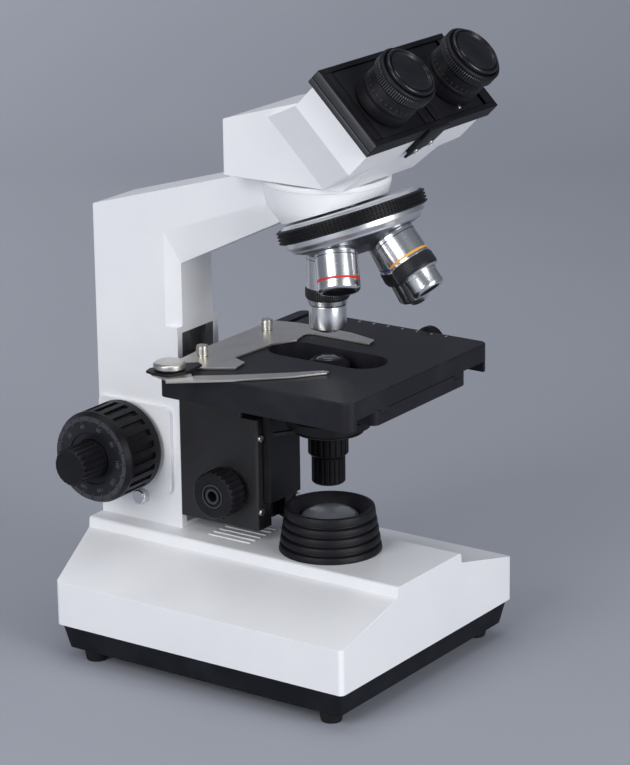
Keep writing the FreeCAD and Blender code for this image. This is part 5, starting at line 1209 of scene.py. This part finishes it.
@dataclass
class Turret:
    """Nosepiece with its grip and the four objectives."""

    finishes: Finishes
    centre: Point = (0.0, -56.6, 263.2)
    lean: float = 20.0
    seat_radius: float = 23.2
    seat_depth: float = 15.3
    barrel_100x: Outline = (
        *((11.8, -2.6, 1), (11.8, -3.0, 0), (11.8, -18.4, 0), (11.9, -19.4, 1), (11.9, -25.9, 0)),
        *((11.1, -26.1, 0), (11.1, -28.8, 0), (10.3, -29.0, 1), (10.3, -29.5, 0), (10.5, -29.7, 0)),
        *((10.5, -42.4, 0), (10.0, -43.0, 0), (6.2, -43.2, 0), (5.4, -45.0, 0)),
    )
    barrel_4x: Outline = (
        *((11.8, -2.6, 1), (11.8, -3.0, 0), (11.8, -15.4, 2), (11.8, -16.8, 0), (11.8, -21.0, 0)),
        *((10.6, -22.2, 0), (9.0, -22.2, 1), (6.0, -20.4, 1)),
    )
    barrel_10x: Outline = (
        *((11.8, -2.6, 1), (11.8, -3.0, 0), (11.8, -14.8, 2), (11.8, -16.0, 0), (11.8, -17.2, 0)),
        *((12.0, -17.6, 1), (12.0, -25.6, 0), (10.0, -26.2, 0), (10.0, -27.8, 0), (9.6, -28.0, 0)),
        *((9.6, -34.9, 0), (8.8, -36.5, 0), (6.2, -36.5, 1), (5.2, -35.6, 1)),
    )
    barrel_40x: Outline = (
        *((11.8, -2.6, 1), (11.8, -3.0, 0), (11.8, -16.4, 2), (11.8, -17.6, 0), (11.8, -18.8, 0)),
        *((12.0, -19.2, 1), (12.0, -27.4, 0), (10.6, -28.0, 0), (10.6, -39.6, 0), (9.8, -40.8, 0)),
        *((6.6, -42.4, 0), (5.2, -44.4, 0)),
    )

    def build(self) -> None:
        """Makes the nosepiece and the objectives."""
        self.nosepiece(Axes(self.centre, about("X", -self.lean)).matrix())
        paint = self.finishes
        self.objective("objective_100x", 0, self.barrel_100x, (-19.5, -25.8), paint.soot)
        self.objective("objective_4x", 1, self.barrel_4x, None, paint.red)
        self.objective("objective_10x", 2, self.barrel_10x, (-17.7, -25.5), paint.yellow)
        self.objective("objective_40x", 3, self.barrel_40x, (-19.3, -27.3), paint.blue)

    def nosepiece(self, axes: Matrix) -> None:
        """The chromed disc over its duller cone, with rows of knurls on its grip.

        Args:
            axes: the nosepiece's axes.
        """
        chrome = Turned("chrome_nosepiece", axes, gloss=0.26).make()
        dull = Turned("dull_nosepiece", axes, Tone.GUNMETAL, 0.30).make()
        slope = math.tan(math.radians(self.lean))
        hub, rim = 9.0, 36.6
        below = -self.seat_depth + (hub - self.seat_radius) * slope
        above = -self.seat_depth + (rim - self.seat_radius) * slope
        cone = [(6.05, -12.0, 0), (hub, -12.0, 0), (hub, below, 1), (rim, above, 0), (37.0, -9.2, 0)]
        cone += [(39.3, -7.2, 0), (39.5, -6.6, 0), (39.5, 3.9, 0), (38.6, 4.3, 0), (37.6, 5.3, 0)]
        cone += [(36.4, 5.6, 0), (6.05, 5.6, 0)]
        disc = piece("nosepiece_disc", turned(cone, 160, 0.35), axes, [chrome, dull])
        fixed(disc, "turret", "bright", "nosepiece")
        ring = [(39.6, -4.2, 0), (40.9, -4.2, 0), (41.4, -3.8, 0), (41.4, 3.4, 0), (40.9, 3.8, 0)]
        ring += [(39.6, 3.8, 0)]
        grip = piece("nosepiece_grip_ring", turned(ring, 160, 0.2), axes, [self.finishes.plastic])
        fixed(grip, "turret", "black_plastic", "nosepiece_grip")
        rows = dict(Rows=4, Start=-3.05, Pitch=1.9)
        sizes = dict(Count=116, Radius=41.3, Depth=1.05, Width=1.85, Height=1.55, Taper=0.45)
        knurl = self.finishes.studs.make("nosepiece_knurl", axes, self.finishes.plastic, **rows, **sizes)
        fixed(knurl, "turret", "black_plastic")

    def seat(self, quarter: int) -> Matrix:
        """Finds an objective's seat.

        Args:
            quarter: quarter turns from the objective over the stage.

        Returns:
            Its axes, with Z along the barrel.
        """
        turn = math.pi / 2 * quarter
        tilt = math.radians(self.lean)
        x, y, z = self.centre
        origin = (
            x - self.seat_radius * math.sin(turn),
            y + self.seat_radius * math.cos(turn) * math.cos(tilt) - self.seat_depth * math.sin(tilt),
            z - self.seat_radius * math.cos(turn) * math.sin(tilt) - self.seat_depth * math.cos(tilt),
        )
        upright = about("X", -self.lean) @ about("Z", 90.0 * quarter) @ about("X", self.lean)
        return Axes(origin, upright).matrix()

    def objective(
        self, node: str, quarter: int, outline: Outline, knurl: Union[Span, None], band: Material
    ) -> None:
        """One objective: chromed barrel, coloured ring, knurled ring and front lens.

        Args:
            node: the solid that it stands for.
            quarter: its place on the nosepiece.
            outline: radius, height and finish from the shoulder down. Chrome is 0, black 1, the ring 2.
            knurl: upper and lower end of the knurled ring, if it has one.
            band: the ring's material.
        """
        axes = self.seat(quarter)
        chrome = Turned(f"chrome_{node}", axes, gloss=0.17).make()
        top = [(0.0, 4.4, 0), (9.9, 4.4, 0), (9.9, 0.0, 0), (11.4, 0.0, 0), (11.8, -0.4, 0)]
        front_radius, front, _ = outline[-1]
        bore = min(4.6, front_radius - 0.9)
        tip = [(bore + 0.4, front, 1), (bore, front + 0.9, 1), (0.0, front + 0.9, 1)]
        shape = turned([*top, *outline, *tip], 128, 0.22)
        barrel = piece(f"{node}_barrel", shape, axes, [chrome, self.finishes.dark, band], 34.0)
        fixed(barrel, "turret", "bright", node)
        dome = [(0.0, front + 0.8, 0), (bore, front + 0.8, 0), (bore, front + 1.0, 0), (0.0, front + 0.3, 0)]
        glass = piece(f"{node}_front_lens", turned(dome, 64, 0.05), axes, [self.finishes.glass], 60.0)
        fixed(glass, "turret", "optic")
        if knurl:
            upper, lower = knurl
            run = dict(Start=(upper + lower) / 2, Height=upper - lower - 0.6)
            sizes = dict(Count=72, Radius=12.0, Depth=0.5, Width=0.5)
            # The knurl takes the lighter grey: a painted highlight on the black ring.
            ribs = self.finishes.studs.make(f"{node}_knurl", axes, self.finishes.ribs, **run, **sizes)
            fixed(ribs, "turret", "black_plastic")


@dataclass
class Head:
    """Binocular head with sliding eyetubes, scale rings, collars and dust caps."""

    finishes: Finishes
    pivot: Point = (0.0, -40.0, 286.0)
    tubes: float = 32.0
    tube_along: float = -4.9
    face: float = 66.9
    plate_inner: float = 5.2
    plate_outer: float = 50.0
    plate_run: Span = (-24.0, 20.6)
    frame_run: Span = (-27.2, 23.8)
    bracket_face: float = -27.6
    bracket: Sequence[Span] = (
        *((-9.5, 76.2), (9.5, 76.2), (7.5, 60.0), (1.5, 59.0), (-0.5, 56.5), (-9.0, 52.0)),
    )
    bracket_pad: Sequence[Span] = ((-8.0, 66.5), (8.0, 66.5), (6.6, 60.6), (-7.4, 54.0))
    bracket_screws: Sequence[Span] = ((-4.6, 57.4), (5.4, 61.8))
    plate_screw: Point = (28.0, -21.0, 75.8)
    cover_rise: Span = (8.95, 9.45)
    cover_runs: tuple[tuple[str, Span], ...] = (
        ("left_end", (-56.9, -51.7)),
        ("left", (-8.6, -0.7)),
        ("right", (0.7, 5.9)),
        ("right_end", (51.7, 56.9)),
    )
    ring_low: float = 83.6
    collar_low: float = 93.5
    cap_low: float = 100.5

    def build(self) -> None:
        """Dresses the head and makes the eyepiece ends."""
        softened("head_housing", "white_paint", self.finishes.enamel, 0.8, 24.0, 3)
        softened("slide_frame", "black_metal", self.finishes.dark)
        for side, across in (("left", -self.tubes), ("right", self.tubes)):
            self.tube(side, across)
            self.dioptre(side, across)
            self.collar(side, across)
            self.cap(side, across)
        self.covers()
        self.end_strips()
        self.stop()

    def axes(self, across: float, along: float, height: float) -> Matrix:
        """Finds axes on the tilted face.

        Args:
            across: distance along the face to the right.
            along: distance up the face.
            height: distance above the head's pivot, along the tubes.

        Returns:
            Axes with Z along the tubes.
        """
        x, y, z = self.pivot
        place = (x + across, y + (along - height) * SLANT, z + (along + height) * SLANT)
        return Axes(place, about("X", 45.0)).matrix()

    def tube(self, side: str, across: float) -> None:
        """The plate that slides in the frame, and the tube that stands on it.

        Args:
            side: left or right.
            across: the tube's place.
        """
        axes = self.axes(across, self.tube_along, self.face)
        hand = 1 if across > 0 else -1
        near, far = sorted((hand * self.plate_inner - across, hand * self.plate_outer - across))
        low, high = (edge - self.tube_along for edge in self.plate_run)
        shape = slab([(near, low), (far, low), (far, high), (near, high)], 3.2, 8.8, 0.25)
        pipe = [(11.6, 3.4, 0), (14.0, 3.4, 0), (14.0, 9.7, 0), (16.2, 9.8, 0), (16.5, 10.1, 0)]
        pipe += [(16.5, 16.5, 0), (14.0, 16.5, 0), (14.0, 33.2, 0), (11.6, 33.2, 0)]
        wall = turned(pipe, 112, 0.2)
        sleeve = bpy.data.meshes.new("sleeve")
        wall.to_mesh(sleeve)
        wall.free()
        shape.from_mesh(sleeve)
        bpy.data.meshes.remove(sleeve)
        bmesh.ops.recalc_face_normals(shape, faces=shape.faces)
        tube = piece(f"eyetube_sliding_{side}", shape, axes, [self.finishes.dark])
        fixed(tube, f"tube_{side}", "black_metal", f"eyetube_{side}")

    def end_strips(self) -> None:
        """Two lighter strips with a groove between them on each end of the frame; their lighter grey is a
        painted highlight on the frame's ends.
        """
        axes = self.axes(0.0, 0.0, self.face)
        for side, across in (("left", (-60.35, -59.9)), ("right", (59.9, 60.35))):
            for level, rise in (("low", (0.3, 3.6)), ("high", (4.2, 9.2))):
                name = f"frame_{level}_strip_{side}"
                strip = bar(name, across, self.frame_run, rise, axes, self.finishes.ribs)
                fixed(strip, "head", "black_metal")

    def covers(self) -> None:
        """Thin strips over the frame's middle and ends, under which the plates slide."""
        axes = self.axes(0.0, 0.0, self.face)
        for place, across in self.cover_runs:
            name = f"frame_cover_{place}"
            cover = bar(name, across, self.plate_run, self.cover_rise, axes, self.finishes.dark)
            fixed(cover, "head", "black_metal")

    def dioptre(self, side: str, across: float) -> None:
        """The scale ring under a collar.

        Args:
            side: left or right.
            across: the tube's place.
        """
        axes = self.axes(across, self.tube_along, self.ring_low)
        outline = [(14.06, 0.0, 0), (16.7, 0.0, 0), (16.7, 2.2, 0), (16.3, 2.6, 0), (16.3, 9.6, 0)]
        outline += [(14.06, 9.6, 0)]
        ring = piece(f"dioptre_scale_{side}", turned(outline, 112, 0.3), axes, [self.finishes.dark])
        fixed(ring, f"dioptre_{side}", "black_metal", f"dioptre_ring_{side}")
        sizes = dict(Count=30, Radius=16.28, Start=4.3, Depth=0.06, Width=0.22, Height=1.7, Taper=1.0)
        ticks = self.finishes.studs.make(f"dioptre_ticks_{side}", axes, self.finishes.faint, **sizes)
        fixed(ticks, f"dioptre_{side}", "black_metal")

    def collar(self, side: str, across: float) -> None:
        """The ribbed collar of an eyepiece.

        Args:
            side: left or right.
            across: the tube's place.
        """
        axes = self.axes(across, self.tube_along, self.collar_low)
        outline = [(14.0, 0.0, 0), (16.6, 0.0, 0), (16.9, 0.4, 0), (16.9, 5.8, 0), (17.7, 6.1, 0)]
        outline += [(17.7, 7.2, 0), (17.0, 8.0, 0), (15.9, 8.0, 0), (15.4, 7.0, 0), (14.0, 7.0, 0)]
        ring = piece(f"eyepiece_collar_{side}", turned(outline, 128, 0.3), axes, [self.finishes.plastic])
        fixed(ring, f"tube_{side}", "black_metal", f"eyetube_collar_{side}")
        sizes = dict(Count=78, Radius=16.8, Start=3.1, Depth=0.85, Width=0.8, Height=5.3)
        # The ribs take the lighter grey: a painted highlight on the black collar.
        ribs = self.finishes.studs.make(f"eyepiece_ribs_{side}", axes, self.finishes.ribs, **sizes)
        fixed(ribs, f"tube_{side}", "black_metal")

    def cap(self, side: str, across: float) -> None:
        """The dust cap with its raised ring.

        Args:
            side: left or right.
            across: the tube's place.
        """
        axes = self.axes(across, self.tube_along, self.cap_low)
        outline = [(0.0, -6.0, 0), (11.4, -6.0, 0), (11.4, 0.0, 0), (15.2, 0.0, 0), (15.2, 2.5, 0)]
        outline += [(14.7, 3.2, 0), (13.9, 3.35, 0), (13.5, 2.5, 0), (13.0, 2.3, 0), (12.7, 3.35, 0)]
        outline += [(12.1, 3.4, 0), (11.6, 2.4, 0), (0.0, 2.4, 0)]
        lid = piece(f"eyepiece_cap_{side}", turned(outline, 128, 0.15), axes, [self.finishes.lacquer])
        fixed(lid, f"tube_{side}", "black_plastic", f"dust_cap_{side}")

    def stop(self) -> None:
        """The black stop bracket under the frame, with its screws, and one on the right plate."""
        paint = self.finishes
        x, y, z = self.pivot
        low = self.bracket_face * SLANT
        axes = Axes((x, y + low, z + low), about("X", 45.0) @ about("X", 90.0)).matrix()
        fixed(plate("frame_stop", self.bracket, (0.05, 1.5), axes, paint.satin), "head", "black_metal")
        pad = plate("frame_stop_pad", self.bracket_pad, (-1.55, 0.1), axes, paint.satin)
        fixed(pad, "head", "black_metal")
        for number, (across, height) in enumerate(self.bracket_screws):
            seat = axes @ Matrix.Translation((across * MM, height * MM, 1.5 * MM))
            fixed(screw(f"frame_stop_screw_{number + 1}", seat, 1.9, paint.nickel), "head", "satin_nickel")
        seat = self.axes(*self.plate_screw)
        fixed(screw("slide_plate_screw", seat, 1.2, paint.nickel), "tube_right", "satin_nickel")


# ---------------------------------------------------------------- studio


@dataclass
class Studio:
    """Pale sweep, large soft lamps and the camera at the photograph's place."""

    stand: Point = (-1374.3, -985.1, 679.5)
    azimuth: float = -54.4
    elevation: float = 16.801
    roll: float = -0.996
    focal_pixels: float = 3120.995
    image: tuple[int, int] = (630, 765)
    middle: Span = (271.837, 365.36)
    sweep_half: float = 3.0
    sweep_front: float = -2.6
    sweep_top: float = 3.2
    curve_start: float = 1.2
    curve_radius: float = 0.9
    curve_steps: int = 16

    def build(self) -> None:
        """Sets up floor, light and camera."""
        self.sweep()
        self.camera()
        self.lamp("key", (-1.5, 0.1, 0.8), (0, 0, 0.2), (0.9, 1.2), 17.0)
        self.lamp("front", (-0.3, -1.7, 0.6), (0, 0, 0.2), (0.9, 1.2), 21.5)
        self.lamp("top", (0.0, 0.0, 1.9), (0, 0, 0.1), (1.2, 1.2), 9.0)
        self.lamp("wall", (-0.1, 1.5, 0.9), (1.4, 1.7, 0.5), (0.9, 0.9), 15.0)
        world = bpy.data.worlds.new("studio")
        world.use_nodes = True
        backdrop = world.node_tree.nodes["Background"]
        backdrop.inputs["Color"].default_value = (0.55, 0.60, 0.70, 1.0)
        backdrop.inputs["Strength"].default_value = 0.30
        bpy.context.scene.world = world
        bpy.context.scene.view_settings.view_transform = "Standard"

    def sweep(self) -> None:
        """A pale floor that curves up into a backdrop behind the instrument."""
        shape = bmesh.new()
        forward = Vector((math.sin(math.radians(-self.azimuth)), math.cos(math.radians(self.azimuth)), 0))
        side = Vector((forward.y, -forward.x, 0))
        start, radius, half = self.curve_start, self.curve_radius, self.sweep_half
        run = [(self.sweep_front, 0.0), (start, 0.0)]
        for step in range(1, self.curve_steps + 1):
            angle = math.pi / 2 * step / self.curve_steps
            run.append((start + radius * math.sin(angle), radius - radius * math.cos(angle)))
        run.append((start + radius, self.sweep_top))
        rows = []
        for reach, height in run:
            ends = (forward * reach - side * half, forward * reach + side * half)
            rows.append([shape.verts.new((end.x, end.y, height)) for end in ends])
        for low, high in zip(rows, rows[1:]):
            shape.faces.new((low[0], low[1], high[1], high[0]))
        finish = Recipe("studio_paper")
        cloud = finish.noise(220.0, 2.0)
        finish.feed("Base Color", finish.mix(cloud, (0.32, 0.335, 0.385), (0.34, 0.355, 0.405)))
        finish.feed("Roughness", 0.8 + 0.05 * finish.noise(6.0))
        piece("studio_floor", shape, Matrix.Identity(4), [finish.material])

    def camera(self) -> None:
        """Places the camera where the photograph was taken from."""
        turn, rise, roll = (math.radians(value) for value in (self.azimuth, self.elevation, self.roll))
        back = Vector((math.sin(turn) * math.cos(rise), -math.cos(turn) * math.cos(rise), math.sin(rise)))
        level = (-back).cross(Vector((0, 0, 1))).normalized()
        above = level.cross(-back)
        right = level * math.cos(roll) + above * math.sin(roll)
        up = above * math.cos(roll) - level * math.sin(roll)
        optics = bpy.data.cameras.new("view")
        optics.sensor_width = 36.0
        optics.lens = self.focal_pixels * 36.0 / max(self.image)
        optics.shift_x = (self.image[0] / 2 - self.middle[0]) / max(self.image)
        optics.shift_y = (self.middle[1] - self.image[1] / 2) / max(self.image)
        holder = placed("view", optics)
        facing = Matrix((right, up, back)).transposed().to_4x4()
        holder.matrix_world = Matrix.Translation(at(*self.stand)) @ facing
        bpy.context.scene.camera = holder

    @staticmethod
    def lamp(name: str, place: Point, aim: Point, size: Span, power: float) -> None:
        """Hangs a soft rectangular lamp.

        Args:
            name: its name.
            place: where it hangs, in metres.
            aim: the point that it faces.
            size: width and height in metres.
            power: strength in watts.
        """
        light = bpy.data.lights.new(name, "AREA")
        light.shape = "RECTANGLE"
        light.size, light.size_y = size
        light.energy = power
        holder = placed(name, light)
        holder.location = place
        holder.rotation_euler = (Vector(aim) - Vector(place)).to_track_quat("-Z", "Y").to_euler()


def plain(box: tuple[Vector, Vector]) -> list[list[float]]:
    """A box as plain lists of numbers."""
    return [[float(value) for value in corner] for corner in box]


def main() -> None:
    """Builds every sub-assembly in order."""
    logging.basicConfig(level=logging.INFO, format="%(name)s: %(message)s")
    finishes = Finishes()
    for assembly in (
        Stand(finishes),
        FocusDrive(finishes),
        Carrier(finishes),
        StageTop(finishes),
        Turret(finishes),
        Head(finishes),
        Studio(),
    ):
        LOG.info("building %s", type(assembly).__name__)
        assembly.build()


if __name__ == "__main__":
    main()
